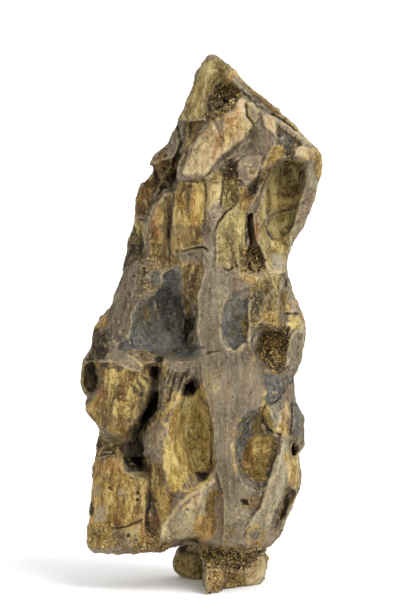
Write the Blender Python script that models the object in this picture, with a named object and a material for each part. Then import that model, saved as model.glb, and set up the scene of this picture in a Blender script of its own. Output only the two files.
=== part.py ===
# Dragon stone: one upright piece of weathered, layered rock, 270 mm tall, that stands on a small flat foot.
#
# The front is a relief. Its outline, break lines and spots are placed by the column and row of the front
# view, and each has its depth in millimetres: less than zero is towards the viewer. The flanks and the back
# close it, and rounded cutters then scoop out the hollows, pits and crevices that erosion left.

import math

import bmesh
import bpy
from mathutils import Euler, Matrix, Vector, noise
from mathutils.geometry import delaunay_2d_cdt

MM = 0.001

# The real size, and how the front view measures it
STONE_HEIGHT = 270.0
TOP_ROW = 54
BOTTOM_ROW = 594
MM_PER_PIXEL = STONE_HEIGHT / (BOTTOM_ROW - TOP_ROW)
AXIS_COLUMN = 215
GROUND_ROW = 586
LOOK_DOWN = math.radians(6)

# The rock's thickness behind its outline
FLANK_DEPTH = 11.0
FLANK_SHRINK = 0.975
BACK_DEPTH = 25.0
BACK_SHRINK = 0.84
BACK_CENTRE_COLUMN = 205
BACK_CENTRE_ROW = 330
BACK_FOLLOWS_FRONT = 0.25

# How sharp the drawn lines stay where the surface between them is rounded, from 0 to 1
RIM_CREASE = 1.0
BREAK_CREASE = 1.0
BACK_CREASE = 0.45
ROUNDING_LEVELS = 1

# How uneven the walls of the scooped hollows are, as a part of their size
HOLLOW_WAVES = 1.6
HOLLOW_UNEVENNESS = 0.24
HOLLOW_ROUNDNESS = 3

# Worn bowls that meet in sharp crests all over the flanks and the back, in millimetres
BOWL_WIDTH = 20.0
BOWL_HEIGHT = 36.0
BOWL_DEPTH = 6.0
BOWL_REACH = 0.8
BOWL_WANDER = 6.0
BOWL_WANDER_SIZE = 18.0
BOWLS_BEGIN = 0.0
BOWLS_DEEPEST = 16.0
BOWLS_END_ABOVE = 12.0
STONE_AXIS = (-5.0, -4.0, 0.0)

# How rough the blocks of the foot are
BLOCK_CUTS = 3
BLOCK_WAVE_DEPTH = 1.6
BLOCK_WAVE_SIZE = 10.0
WAVE_SHIFTS = (0.0, 17.3, 41.9)

# The finish of the solid
VOXEL = 0.9
SMOOTH_PASSES = 1
SMOOTH_STRENGTH = 0.4
ROUGHNESS_DEPTH = 1.0
ROUGHNESS_SIZE = 8.0
ROUGHNESS_DETAIL = 3
FACES_KEPT = 9300
FLOOR_WIDTH = 300.0
FLOOR_THICKNESS = 40.0

ROCK_COLOUR = (0.30, 0.25, 0.18, 1)
ROCK_ROUGHNESS = 0.85

# The outline as the front view shows it, clockwise from the top: column, row, depth
OUTLINE = (
    (206, 54, -9), (212, 54, -10), (223, 60, -11), (231, 68, -11), (252, 88, -12), (280, 114, -14),
    (302, 133, -16), (316, 147, -18), (324, 160, -18), (318, 186, -17), (310, 211, -15), (303, 225, -14),
    (299, 235, -13), (293, 245, -12), (289, 256, -11), (287, 264, -10), (289, 280, -9), (294, 299, -10),
    (302, 312, -10), (307, 318, -9), (305, 329, -8), (304, 341, -7), (302, 357, -6), (296, 371, -6),
    (293, 381, -5), (295, 391, -5), (293, 400, -6), (303, 412, -6), (305, 420, -6), (303, 434, -6),
    (305, 438, -6), (301, 451, -6), (298, 456, -7), (302, 471, -11), (301, 493, -12), (293, 504, -14),
    (287, 518, -16), (283, 534, -16), (276, 542, -16), (264, 551, -18), (240, 553, -22), (222, 551, -22),
    (207, 546, -14), (194, 540, -8), (181, 546, -12), (168, 547, -22), (161, 552, -26), (147, 552, -27),
    (125, 554, -26), (103, 555, -24), (84, 551, -20), (86, 530, -20), (89, 513, -18), (91, 501, -18),
    (91, 482, -16), (94, 464, -12), (96, 449, -2), (95, 439, -2), (103, 432, -12), (93, 421, -15),
    (85, 411, -17), (86, 402, -12), (87, 396, -2), (80, 386, -1), (78, 376, -1), (80, 366, -1),
    (89, 354, -4), (91, 346, -6), (90, 335, -6), (97, 325, -6), (98, 317, -7), (108, 313, -8),
    (116, 297, -10), (119, 281, -10), (126, 272, -8), (124, 265, -2), (127, 254, 1), (127, 239, 2),
    (131, 227, 2), (136, 217, 2), (132, 211, 2), (134, 198, 2), (140, 181, 2), (147, 170, 1),
    (152, 155, -2), (163, 147, -4), (170, 140, -5), (175, 126, -6), (182, 110, -7), (185, 99, -7),
    (193, 87, -8), (198, 73, -8), (202, 61, -9),
)

# Break lines of the front: edges, crests and the feet of walls, as column, row, depth
FRONT_LINES = {
    "top slab crest": ((209, 63, -15), (205, 80, -19), (204, 96, -21), (203, 113, -22)),
    "top slab lip": ((184, 117, -16), (194, 119, -20), (203, 119, -22)),
    "face under the lip": ((183, 122, -12), (192, 124, -16), (199, 126, -18)),
    "face foot": ((153, 159, -5), (165, 161, -8), (177, 156, -11), (184, 149, -14)),
    "crevice behind the tongue": ((186, 153, -6), (181, 161, 0), (176, 173, 4), (172, 186, 6), (163, 190, 8),
                                  (154, 205, 3)),
    "inner edge of the layers": ((222, 68, -14), (232, 80, -14), (242, 92, -15), (263, 111, -17),
                                 (277, 122, -18), (296, 136, -19), (312, 148, -20)),
    "tongue right edge": ((243, 98, -25), (249, 111, -28), (250, 125, -31), (240, 146, -34), (222, 166, -37),
                          (207, 176, -38), (199, 179, -38), (184, 178, -36), (180, 172, -34)),
    "tongue left edge": ((180, 172, -34), (189, 149, -32), (201, 129, -30), (212, 121, -29), (224, 113, -28),
                         (235, 101, -26), (243, 98, -25)),
    "groove beside the tongue": ((254, 131, -23), (247, 146, -24)),
    "ledge under the tongue": ((235, 161, -26), (226, 172, -26), (211, 182, -27), (199, 185, -27),
                               (184, 184, -25)),
    "grey flake": ((258, 112, -27), (268, 122, -28), (277, 138, -26), (275, 150, -26), (268, 156, -27),
                   (261, 150, -29), (257, 140, -29), (256, 124, -28), (258, 112, -27)),
    "lower flake": ((237, 157, -30), (240, 180, -32), (245, 186, -32), (253, 179, -31), (261, 166, -30),
                    (257, 157, -30), (237, 157, -30)),
    "rib": ((274, 157, -26), (266, 173, -27), (262, 186, -28), (254, 203, -29), (247, 211, -31)),
    "alcove top rim": ((274, 157, -26), (283, 160, -22), (295, 156, -21), (306, 158, -20)),
    "alcove right rim": ((304, 168, -19), (303, 181, -19), (301, 201, -18), (297, 214, -17), (292, 225, -16),
                         (288, 241, -14), (285, 256, -13)),
    "alcove floor edge": ((268, 186, -8), (275, 173, -3), (287, 167, 1), (299, 169, 1), (298, 184, -3),
                          (295, 202, -5), (290, 214, -7), (284, 230, -9), (280, 246, -11)),
    "slot left rim": ((246, 213, -31), (245, 245, -33), (239, 262, -34), (241, 275, -35)),
    "slot floor": ((249, 217, -13), (249, 240, -12), (250, 263, -15)),
    "slot right rim": ((252, 213, -28), (254, 240, -24), (262, 253, -22), (269, 273, -24)),
    "ledge under the slot": ((254, 277, -31), (268, 278, -27), (283, 275, -20)),
    "plank edge": ((168, 189, -25), (159, 201, -25), (153, 215, -24), (149, 229, -23), (148, 245, -23),
                   (150, 262, -23)),
    "plank wall foot": ((162, 196, 3), (154, 205, 3), (148, 216, 0), (144, 230, -2), (143, 246, -3),
                        (145, 260, -8)),
    "first crack": ((172, 190, -23), (171, 225, -23), (171, 252, -25)),
    "second plank": ((175, 188, -30), (174, 225, -32), (174, 252, -33)),
    "second crack": ((205, 185, -27), (205, 221, -28)),
    "third plank": ((208, 184, -33), (208, 223, -37)),
    "plank foot": ((174, 252, -33), (188, 250, -34), (203, 247, -37)),
    "under the planks": ((173, 257, -27), (188, 255, -29), (199, 252, -31)),
    "column crest": ((212, 232, -37), (212, 260, -40), (213, 300, -42), (212, 340, -42), (226, 378, -44),
                     (226, 420, -45), (226, 470, -44), (236, 510, -42), (238, 541, -38)),
    "column left edge": ((204, 254, -36), (203, 267, -37), (200, 285, -37), (198, 305, -38), (198, 330, -38),
                         (200, 352, -39), (205, 372, -41), (206, 390, -42), (210, 407, -42), (215, 424, -42),
                         (216, 450, -41), (215, 470, -41), (212, 484, -40)),
    "column lower left edge": ((220, 488, -40), (224, 505, -39), (224, 543, -36)),
    "blue hollow left rim": ((176, 268, -30), (160, 270, -26), (145, 276, -22), (133, 290, -20),
                             (128, 310, -20), (122, 330, -18), (116, 345, -18)),
    "blue hollow right wall": ((193, 315, -18), (193, 330, -13), (192, 345, -16)),
    "blue hollow lower rim": ((120, 357, -23), (129, 357, -25), (141, 366, -28), (154, 362, -28),
                              (165, 358, -30), (184, 364, -33), (200, 358, -37)),
    "tan strip": ((184, 266, -32), (186, 290, -31), (190, 312, -30)),
    "purple hollow rim": ((246, 287, -37), (239, 291, -39), (230, 301, -41), (225, 311, -42),
                          (222, 330, -42), (224, 349, -42), (237, 352, -41), (248, 346, -37)),
    "right shelf": ((276, 313, -21), (290, 313, -17), (301, 313, -13)),
    "under the right shelf": ((278, 319, -15), (290, 320, -11), (299, 320, -9)),
    "right cavity rim": ((252, 325, -31), (262, 321, -28), (274, 324, -23), (287, 330, -15), (290, 350, -13),
                         (286, 369, -14), (270, 374, -24), (256, 371, -31), (249, 350, -34), (252, 325, -31)),
    "diamond top edge": ((100, 363, -20), (118, 361, -25), (134, 367, -28), (147, 379, -29)),
    "diamond left edge": ((100, 363, -20), (101, 392, -20), (93, 403, -19), (87, 411, -19)),
    "diamond crest": ((112, 378, -29), (117, 405, -35), (114, 426, -34)),
    "diamond lower edge": ((97, 424, -24), (105, 431, -27), (114, 435, -29), (125, 437, -29)),
    "diamond right edge": ((150, 385, -30), (147, 398, -29), (140, 412, -29), (132, 426, -28), (125, 437, -29)),
    "crevice floor": ((156, 371, -10), (156, 386, -16), (151, 404, -3), (145, 416, 0), (137, 432, 0),
                      (136, 448, 0), (142, 462, 3)),
    "crevice right crest": ((166, 364, -32), (166, 376, -34), (165, 388, -36), (164, 402, -36), (159, 411, -34),
                            (151, 424, -31), (148, 440, -29), (149, 458, -29), (152, 472, -29)),
    "neck": ((100, 443, -4), (110, 444, -10), (120, 447, -14)),
    "mottled block top": ((97, 462, -21), (106, 458, -25), (118, 460, -27), (126, 472, -29), (138, 479, -31),
                          (147, 479, -31)),
    "mottled block groove": ((155, 480, -29), (156, 510, -29), (153, 544, -29)),
    "mottled block foot": ((93, 547, -27), (120, 549, -31), (146, 546, -33)),
    "yellow hollow left rim": ((195, 372, -38), (184, 380, -36), (180, 398, -38), (172, 410, -38),
                               (166, 425, -37), (173, 450, -37), (180, 470, -37), (185, 489, -38)),
    "diagonal ridge": ((212, 484, -40), (198, 500, -39), (185, 515, -39), (172, 532, -38), (165, 541, -35)),
    "groove beside the ridge": ((215, 493, -34), (213, 520, -32), (212, 543, -28)),
    "right hollow left rim": ((262, 408, -37), (249, 410, -40), (239, 420, -42), (234, 443, -43),
                              (233, 465, -43), (240, 474, -41), (249, 485, -40), (259, 493, -38)),
    "green ridge": ((286, 439, -27), (280, 453, -31), (273, 475, -35), (265, 496, -38), (257, 523, -38)),
    "green ridge right side": ((292, 462, -22), (288, 480, -24), (279, 505, -29), (270, 523, -31)),
    "wing slot": ((289, 489, -8), (284, 511, -9), (276, 523, -12)),
    "wing inner rim": ((293, 488, -15), (289, 512, -16), (280, 529, -18)),
}

# Single spots of the front between the break lines
FRONT_SPOTS = {
    "top slab": ((194, 98, -14), (190, 110, -14)),
    "gritty pit floor": ((219, 84, -10), (228, 96, -4), (222, 105, -6), (212, 111, -13)),
    "left face": ((172, 150, -9), (184, 136, -14), (194, 136, -17)),
    "tongue": ((231, 128, -35), (216, 148, -38), (200, 168, -39), (236, 112, -31)),
    "recess above the flake": ((290, 145, -17), (283, 134, -18), (270, 119, -20)),
    "dark wedge": ((257, 184, -22), (250, 196, -24)),
    "pillar": ((314, 165, -21), (310, 187, -20), (304, 210, -19)),
    "alcove floor": ((284, 190, -1), (276, 205, -6), (284, 212, -5), (270, 228, -11), (276, 240, -9),
                     (278, 262, -12)),
    "slot cavity": ((244, 264, -20), (260, 268, -17)),
    "planks": ((160, 230, -27), (190, 215, -33), (214, 205, -36)),
    "olive panel": ((228, 195, -33), (240, 200, -32), (232, 235, -38), (226, 262, -41), (238, 272, -38)),
    "left wing": ((141, 236, -2), (135, 252, -4), (144, 208, -2), (141, 192, 0), (150, 179, 7), (156, 168, -3),
                  (160, 180, -1)),
    "crust": ((132, 263, -13), (142, 262, -17), (154, 265, -24)),
    "left slope": ((112, 318, -15), (121, 296, -17), (130, 279, -17), (104, 334, -12)),
    "blue hollow floor": ((176, 298, -19), (165, 318, -15), (148, 332, -16), (150, 308, -18), (140, 350, -17),
                          (166, 344, -15), (176, 353, -20), (127, 343, -14)),
    "purple hollow floor": ((237, 305, -34), (240, 322, -31), (234, 336, -34)),
    "right wall": ((258, 290, -32), (262, 308, -30), (250, 310, -36), (279, 283, -21), (285, 282, -5),
                   (285, 301, -15), (278, 304, -21)),
    "right cavity floor": ((262, 336, -8), (271, 340, -6), (263, 356, -13), (276, 358, -8), (282, 345, -8)),
    "right strip": ((298, 333, -11), (297, 350, -10)),
    "left bump": ((101, 344, -15), (106, 355, -16)),
    "round lobe": ((95, 362, -7), (83, 374, -6), (90, 389, -6), (90, 377, 1), (98, 385, 7)),
    "diamond": ((130, 385, -32), (134, 402, -32), (104, 410, -27)),
    "crest between the hollows": ((178, 372, -36), (174, 390, -38)),
    "yellow hollow floor": ((189, 388, -8), (190, 405, -29), (195, 420, -24), (201, 440, -22), (200, 462, -24),
                            (203, 475, -30), (192, 481, -33)),
    "yellow band": ((166, 470, -36), (165, 500, -36), (160, 528, -35), (178, 502, -36)),
    "grey bump": ((157, 440, -35), (160, 456, -35)),
    "mottled block": ((106, 485, -27), (108, 515, -30), (124, 500, -34), (138, 520, -35), (142, 495, -34)),
    "rusty patch": ((204, 510, -34), (199, 528, -33), (188, 536, -30)),
    "right hollow floor": ((251, 426, -26), (264, 424, -24), (248, 445, -30), (262, 450, -26), (260, 470, -30),
                           (273, 440, -24)),
    "round lump": ((268, 378, -28), (284, 380, -19), (276, 396, -30), (267, 404, -31), (276, 420, -30),
                   (288, 414, -19), (286, 429, -22)),
    "column right side": ((250, 372, -40), (258, 388, -38), (246, 392, -43), (252, 530, -35), (251, 505, -39)),
    "far right lobe": ((298, 418, -12), (299, 438, -11), (296, 427, -14), (292, 449, -3)),
    "wing": ((297, 476, -17), (296, 492, -16)),
    "column foot": ((262, 540, -28), (270, 534, -24), (242, 549, -36), (256, 541, -30)),
}

# The back: columns and rows are still those of the front view
BACK_LINES = {
    "main ridge": ((214, 112, 27), (224, 140, 33), (216, 182, 42), (204, 232, 45), (210, 286, 42),
                   (226, 340, 47), (220, 396, 44), (206, 452, 46), (212, 500, 37)),
    "left ridge": ((176, 196, 30), (158, 240, 36), (142, 296, 34), (136, 330, 41), (146, 368, 34),
                   (130, 424, 39), (118, 466, 38), (122, 500, 31)),
    "right ridge": ((272, 160, 24), (266, 205, 31), (254, 256, 36), (266, 318, 40), (270, 376, 33),
                    (258, 428, 37), (262, 480, 33)),
}
BACK_SPOTS = {
    "left valley": ((196, 156, 22), (194, 200, 24), (184, 260, 25), (178, 318, 28), (176, 376, 26), (166, 430, 25),
                    (164, 486, 28)),
    "right valley": ((244, 178, 23), (236, 236, 26), (242, 290, 28), (248, 352, 33), (238, 410, 27),
                     (236, 466, 30)),
}

# The foot: blocks given by their corners in millimetres, x to the right, y away from the viewer, z up
FOOT_BLOCKS = {
    "prow": ((-5, -38, -2), (1, -30, -2), (8, -2, -2), (-5, 4, -2), (-5, -37, 3), (-4.5, -33, 12), (0, -30, 15),
             (8, -20, 17), (8, 4, 18), (-5, 4, 18), (2, -28, 6)),
    "front block": ((2, -16, -2), (8, -4, -2), (18, -3, -2), (21, 4, -2), (26, 2, 9), (25.5, 6, 16), (25, -4, 19),
                    (12, -21, 20), (1, -25, 19), (23, 28, -2), (-5, 30, -2), (24, 26, 24), (-6, 26, 24),
                    (-5, -10, 22)),
    "back lobe": ((-21.5, 24, 8), (-20.5, 31, 2), (-18, 24, 12.5), (-10, 20, 14), (-5, 20, 13), (-15, 29, -2),
                  (-4, 18, -2.5), (-15, 40, -3), (6, 42, -3.5), (-14, 38, 20), (6, 40, 16), (-20, 36, 9)),
    "heel": ((-2, 12, -3), (23, 10, -4), (26, 22, -3.5), (18, 37, -5), (0, 38, -4.5), (27, 20, 12),
             (22, 34, 13), (24, 16, 26), (2, 34, 27), (-8, 24, 26), (18, 28, 30)),
    "neck": ((-5, -18, 16), (24, -20, 18), (24, 18, 18), (-13, 24, 16), (-4, -14, 42), (26, -20, 42),
             (28, 24, 42), (4, 34, 44), (-20, 30, 42), (-14, 8, 22), (8, 30, 20)),
}

# Rounded cutters: centre as column, row, depth; half sizes in millimetres; turn in degrees about x, y, z
HOLLOWS = {
    "gritty pit": ((225, 99, -12), (7, 9, 9), (0, 20, 0)),
    "alcove roof": ((289, 182, -9), (8.5, 13, 11), (0, 8, 0)),
    "alcove": ((282, 212, -11), (9, 9, 15), (0, 22, 0)),
    "slot": ((249, 231, -22), (2.2, 13, 11), (0, 0, 0)),
    "slot cavity": ((253, 260, -22), (6, 10, 8), (0, 0, 0)),
    "crevice behind the tongue": ((174, 180, -6), (3.5, 16, 8), (0, 30, 0)),
    "wing pit": ((150, 179, 0), (4.5, 8, 6.5), (0, 10, 0)),
    "blue hollow": ((164, 320, -25), (16, 13, 19), (0, 14, 0)),
    "blue hollow deep side": ((188, 331, -20), (5, 10, 9), (0, 0, -25)),
    "purple hollow": ((236, 320, -41), (7.5, 8, 15), (0, 0, 0)),
    "right cavity": ((268, 346, -18), (8.5, 12, 11), (0, 0, 0)),
    "round lobe": ((92, 378, -4), (4.5, 7, 9), (0, 0, 0)),
    "crevice": ((149, 410, -14), (4, 18, 11), (0, 32, 0)),
    "crevice hole": ((156, 371, -18), (3, 14, 4), (0, 0, 0)),
    "lower cavity": ((138, 454, -12), (5.5, 16, 9.5), (0, -10, 0)),
    "yellow hollow hole": ((189, 387, -20), (4, 18, 3.6), (0, 0, 0)),
    "yellow hollow": ((197, 434, -36), (9, 13, 25), (0, -6, 0)),
    "right hollow": ((258, 446, -37), (12, 15, 21), (0, 8, 0)),
    "far right pit": ((292, 449, -6), (2.5, 8, 5), (0, 0, 0)),
    "wing slot": ((286, 505, -14), (2.2, 3.6, 9), (0, 28, 0)),
    "foot recess": ((190, 551, -10), (6, 26, 5), (0, 0, 0)),
}

# Scoops of the flanks and the back, where x, y, z are in millimetres
SCOOPS = (
    ((-70, 10, 36), (15, 13, 26), (0, 0, 10)),
    ((-73, 12, 92), (16, 12, 18), (0, 0, 0)),
    ((-63, 11, 140), (17, 12, 22), (0, -12, 0)),
    ((-48, 14, 190), (14, 11, 22), (0, -14, 0)),
    ((-30, 8, 232), (11, 10, 18), (0, -20, 0)),
    ((59, 13, 205), (12, 10, 22), (0, 18, 0)),
    ((46, 11, 158), (14, 12, 24), (0, 6, 0)),
    ((50, 10, 102), (15, 13, 20), (0, 0, 0)),
    ((53, 8, 50), (14, 11, 20), (0, -14, 0)),
    ((26, 10, 246), (14, 9, 15), (0, 45, 0)),
    ((-20, 44, 176), (13, 14, 24), (0, 10, 0)),
    ((-40, 44, 118), (15, 14, 22), (0, -8, 0)),
    ((-28, 49, 62), (15, 14, 20), (0, 12, 0)),
    ((14, 51, 140), (14, 14, 24), (0, -12, 0)),
    ((31, 46, 82), (13, 14, 20), (0, 10, 0)),
    ((20, 43, 198), (12, 13, 22), (0, 16, 0)),
    ((4, 52, 40), (19, 15, 13), (0, 0, 0)),
)


def front_point(column, row, depth):
    """The place of a point of the front view, whose viewer looks down a little."""
    across = (column - AXIS_COLUMN) * MM_PER_PIXEL
    up = (GROUND_ROW - row) * MM_PER_PIXEL
    height = (up - depth * math.sin(LOOK_DOWN)) / math.cos(LOOK_DOWN)
    return Vector((across, depth, height)) * MM


def shrunk(point, factor, depth):
    """An outline point moved towards the middle of the stone and back to a depth."""
    column = BACK_CENTRE_COLUMN + (point[0] - BACK_CENTRE_COLUMN) * factor
    row = BACK_CENTRE_ROW + (point[1] - BACK_CENTRE_ROW) * factor
    return column, row, depth


def relief(outline, lines, spots):
    """Points and triangles of a relief that keeps its outline and its break lines."""
    points = list(outline)
    edges = []
    for line in lines.values():
        for start, end in zip(line, line[1:]):
            for corner in (start, end):
                if corner not in points:
                    points.append(corner)
            edges.append((points.index(start), points.index(end)))
    for group in spots.values():
        points.extend(group)
    flat = [Vector(point[:2]) for point in points]
    border = list(range(len(outline)))
    _, _, triangles, sources, _, _ = delaunay_2d_cdt(flat, edges, [border], 1, 1e-4)
    return points, [[sources[corner][0] for corner in triangle] for triangle in triangles]


def add_sheet(mesh, corners, triangles):
    """Adds triangles over corners that are already in the mesh."""
    for triangle in triangles:
        mesh.faces.new([corners[index] for index in triangle])


def crease_lines(mesh, corners, points, lines, amount):
    """Keeps the edges along the drawn lines sharp when the surface is rounded."""
    layer = mesh.edges.layers.float.get("crease_edge") or mesh.edges.layers.float.new("crease_edge")
    for line in lines:
        for start, end in zip(line, line[1:]):
            edge = mesh.edges.get((corners[points.index(start)], corners[points.index(end)]))
            edge[layer] = amount


def stone_body():
    """The closed body: the front relief, the flanks and the back relief."""
    flank = [shrunk(point, FLANK_SHRINK, point[2] + FLANK_DEPTH) for point in OUTLINE]
    rear = [shrunk(point, BACK_SHRINK, BACK_DEPTH + BACK_FOLLOWS_FRONT * point[2]) for point in OUTLINE]
    front_points, front_faces = relief(OUTLINE, FRONT_LINES, FRONT_SPOTS)
    back_points, back_faces = relief(rear, BACK_LINES, BACK_SPOTS)

    mesh = bmesh.new()
    front = [mesh.verts.new(front_point(*point)) for point in front_points]
    middle = [mesh.verts.new(front_point(*point)) for point in flank]
    back = [mesh.verts.new(front_point(*point)) for point in back_points]
    add_sheet(mesh, front, front_faces)
    add_sheet(mesh, back, [triangle[::-1] for triangle in back_faces])
    count = len(OUTLINE)
    for near, far in ((front, middle), (middle, back)):
        for index in range(count):
            following = (index + 1) % count
            mesh.faces.new((near[index], near[following], far[following], far[index]))
    crease_lines(mesh, front, front_points, FRONT_LINES.values(), BREAK_CREASE)
    crease_lines(mesh, front, front_points, [OUTLINE + OUTLINE[:1]], RIM_CREASE)
    crease_lines(mesh, back, back_points, BACK_LINES.values(), BACK_CREASE)
    bmesh.ops.recalc_face_normals(mesh, faces=mesh.faces)
    stone = new_object("dragon_stone", mesh)
    rounded = stone.modifiers.new("rounded between the lines", "SUBSURF")
    rounded.levels = ROUNDING_LEVELS
    rounded.render_levels = ROUNDING_LEVELS
    return stone


def new_object(name, mesh):
    """An object of its own for a finished bmesh."""
    data = bpy.data.meshes.new(name)
    mesh.to_mesh(data)
    mesh.free()
    made = bpy.data.objects.new(name, data)
    bpy.context.scene.collection.objects.link(made)
    return made


def waves(place, size):
    """A direction that wanders from place to place, over a size in millimetres."""
    scaled = place / size / MM
    return Vector([noise.noise(scaled + Vector((0, 0, shift))) for shift in WAVE_SHIFTS])


def hull(name, corners):
    """The rough block around its corners, given in millimetres."""
    mesh = bmesh.new()
    for corner in corners:
        mesh.verts.new(Vector(corner) * MM)
    found = bmesh.ops.convex_hull(mesh, input=mesh.verts)
    inside = [item for item in found["geom_interior"] if isinstance(item, bmesh.types.BMVert)]
    bmesh.ops.delete(mesh, geom=inside, context="VERTS")
    bmesh.ops.recalc_face_normals(mesh, faces=mesh.faces)
    bmesh.ops.subdivide_edges(mesh, edges=mesh.edges, cuts=BLOCK_CUTS, use_grid_fill=True)
    for corner in mesh.verts:
        corner.co += waves(corner.co, BLOCK_WAVE_SIZE) * BLOCK_WAVE_DEPTH * MM
    return new_object(name, mesh)


def scoop(name, centre, half_sizes, turn):
    """A rounded but uneven cutter, like the hollow that a worn-out nodule leaves."""
    mesh = bmesh.new()
    bmesh.ops.create_icosphere(mesh, subdivisions=HOLLOW_ROUNDNESS, radius=1)
    for corner in mesh.verts:
        swell = noise.noise(corner.co * HOLLOW_WAVES + centre / MM)
        corner.co *= 1 + HOLLOW_UNEVENNESS * swell
    size = Matrix.Diagonal((*(Vector(half_sizes) * MM), 1))
    turned = Euler([math.radians(angle) for angle in turn]).to_matrix().to_4x4()
    bmesh.ops.transform(mesh, matrix=Matrix.Translation(centre) @ turned @ size, verts=mesh.verts)
    return new_object(name, mesh)


def as_helper(helper):
    """Keeps a cutter or an added block out of the finished part."""
    helper.hide_render = True
    helper.display_type = "WIRE"
    return helper


def combine(target, helper, operation):
    """Cuts the helper from the target, or joins it on."""
    step = target.modifiers.new(f"{operation.lower()} {helper.name}", "BOOLEAN")
    step.operation = operation
    step.solver = "EXACT"
    step.object = as_helper(helper)


def weather(stone):
    """Makes one skin of the stone, rounds its edges a little and roughens its faces."""
    remesh = stone.modifiers.new("one skin", "REMESH")
    remesh.mode = "VOXEL"
    remesh.voxel_size = VOXEL * MM
    smooth = stone.modifiers.new("worn edges", "SMOOTH")
    smooth.factor = SMOOTH_STRENGTH
    smooth.iterations = SMOOTH_PASSES
    clouds = bpy.data.textures.new("rock roughness", "CLOUDS")
    clouds.noise_scale = ROUGHNESS_SIZE * MM
    clouds.noise_depth = ROUGHNESS_DETAIL
    rough = stone.modifiers.new("rough faces", "DISPLACE")
    rough.texture = clouds
    rough.strength = ROUGHNESS_DEPTH * MM


def apply_steps(stone):
    """Makes the stone's modifiers part of its mesh, and removes the helpers that they used."""
    graph = bpy.context.evaluated_depsgraph_get()
    finished = bpy.data.meshes.new_from_object(stone.evaluated_get(graph))
    stone.modifiers.clear()
    stone.data = finished
    for helper in [item for item in bpy.data.objects if item != stone]:
        bpy.data.objects.remove(helper)


def bowl_depth(place):
    """How deep the bowls are at a place in millimetres: nothing at the front and on the crests between them."""
    moved = place + waves(place * MM, BOWL_WANDER_SIZE) * BOWL_WANDER
    nearest = noise.voronoi((moved.x / BOWL_WIDTH, moved.y / BOWL_WIDTH, moved.z / BOWL_HEIGHT))[0][0]
    bowl = 1 - min(nearest / BOWL_REACH, 1) ** 2
    behind = (place.y - BOWLS_BEGIN) / (BOWLS_DEEPEST - BOWLS_BEGIN)
    above = (place.z - BOWLS_END_ABOVE) / BOWLS_END_ABOVE
    return BOWL_DEPTH * bowl * min(max(behind, 0), 1) * min(max(above, 0), 1)


def wear_bowls(stone):
    """Wears bowls into the flanks and the back, towards the middle of the stone."""
    for corner in stone.data.vertices:
        outward = (corner.co / MM - Vector(STONE_AXIS)) * Vector((1, 1, 0))
        corner.co -= outward.normalized() * bowl_depth(corner.co / MM) * MM


def set_face_count(stone):
    """Thins the triangles so that the solid has about the wanted number."""
    stone.data.calc_loop_triangles()
    thin = stone.modifiers.new("fewer faces", "DECIMATE")
    thin.ratio = FACES_KEPT / len(stone.data.loop_triangles)


def floor_cutter():
    """A block whose top is the plane that the stone stands on."""
    mesh = bmesh.new()
    bmesh.ops.create_cube(mesh, size=1)
    size = Matrix.Diagonal((FLOOR_WIDTH * MM, FLOOR_WIDTH * MM, FLOOR_THICKNESS * MM, 1))
    place = Matrix.Translation((0, 0, -FLOOR_THICKNESS / 2 * MM))
    bmesh.ops.transform(mesh, matrix=place @ size, verts=mesh.verts)
    return new_object("floor cutter", mesh)


def rock_material():
    material = bpy.data.materials.new("weathered rock")
    material.use_nodes = True
    shader = material.node_tree.nodes["Principled BSDF"]
    shader.inputs["Base Color"].default_value = ROCK_COLOUR
    shader.inputs["Roughness"].default_value = ROCK_ROUGHNESS
    shader.inputs["Metallic"].default_value = 0
    return material


def clear_scene():
    for old in list(bpy.data.objects):
        bpy.data.objects.remove(old)


def build():
    clear_scene()
    stone = stone_body()
    stone.data.materials.append(rock_material())
    for name, corners in FOOT_BLOCKS.items():
        combine(stone, hull(name, corners), "UNION")
    for name, (place, half_sizes, turn) in HOLLOWS.items():
        combine(stone, scoop(name, front_point(*place), half_sizes, turn), "DIFFERENCE")
    for number, (place, half_sizes, turn) in enumerate(SCOOPS, 1):
        combine(stone, scoop(f"scoop {number}", Vector(place) * MM, half_sizes, turn), "DIFFERENCE")
    weather(stone)
    apply_steps(stone)
    wear_bowls(stone)
    set_face_count(stone)
    combine(stone, floor_cutter(), "DIFFERENCE")


build()
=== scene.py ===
import itertools
import math

import bmesh
import bpy
import numpy as np
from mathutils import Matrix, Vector


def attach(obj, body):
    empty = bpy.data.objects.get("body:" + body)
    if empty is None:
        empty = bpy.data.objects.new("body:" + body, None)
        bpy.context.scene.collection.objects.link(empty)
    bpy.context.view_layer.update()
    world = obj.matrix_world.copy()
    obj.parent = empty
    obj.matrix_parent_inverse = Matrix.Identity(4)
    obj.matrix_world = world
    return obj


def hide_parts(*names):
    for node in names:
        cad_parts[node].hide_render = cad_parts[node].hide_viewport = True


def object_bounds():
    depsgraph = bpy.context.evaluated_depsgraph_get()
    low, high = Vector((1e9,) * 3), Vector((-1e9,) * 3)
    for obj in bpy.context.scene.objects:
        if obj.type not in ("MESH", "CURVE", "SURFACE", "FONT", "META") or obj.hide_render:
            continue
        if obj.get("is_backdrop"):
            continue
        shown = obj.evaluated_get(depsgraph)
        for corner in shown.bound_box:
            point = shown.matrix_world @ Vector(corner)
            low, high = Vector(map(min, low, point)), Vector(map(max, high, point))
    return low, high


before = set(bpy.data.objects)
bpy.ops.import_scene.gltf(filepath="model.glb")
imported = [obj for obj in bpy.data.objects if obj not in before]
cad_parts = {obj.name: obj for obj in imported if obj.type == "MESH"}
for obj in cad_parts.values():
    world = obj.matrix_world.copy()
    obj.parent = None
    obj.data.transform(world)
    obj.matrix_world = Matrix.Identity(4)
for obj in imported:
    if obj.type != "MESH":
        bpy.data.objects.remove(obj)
cad_box = [list(corner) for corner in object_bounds()]

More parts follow.
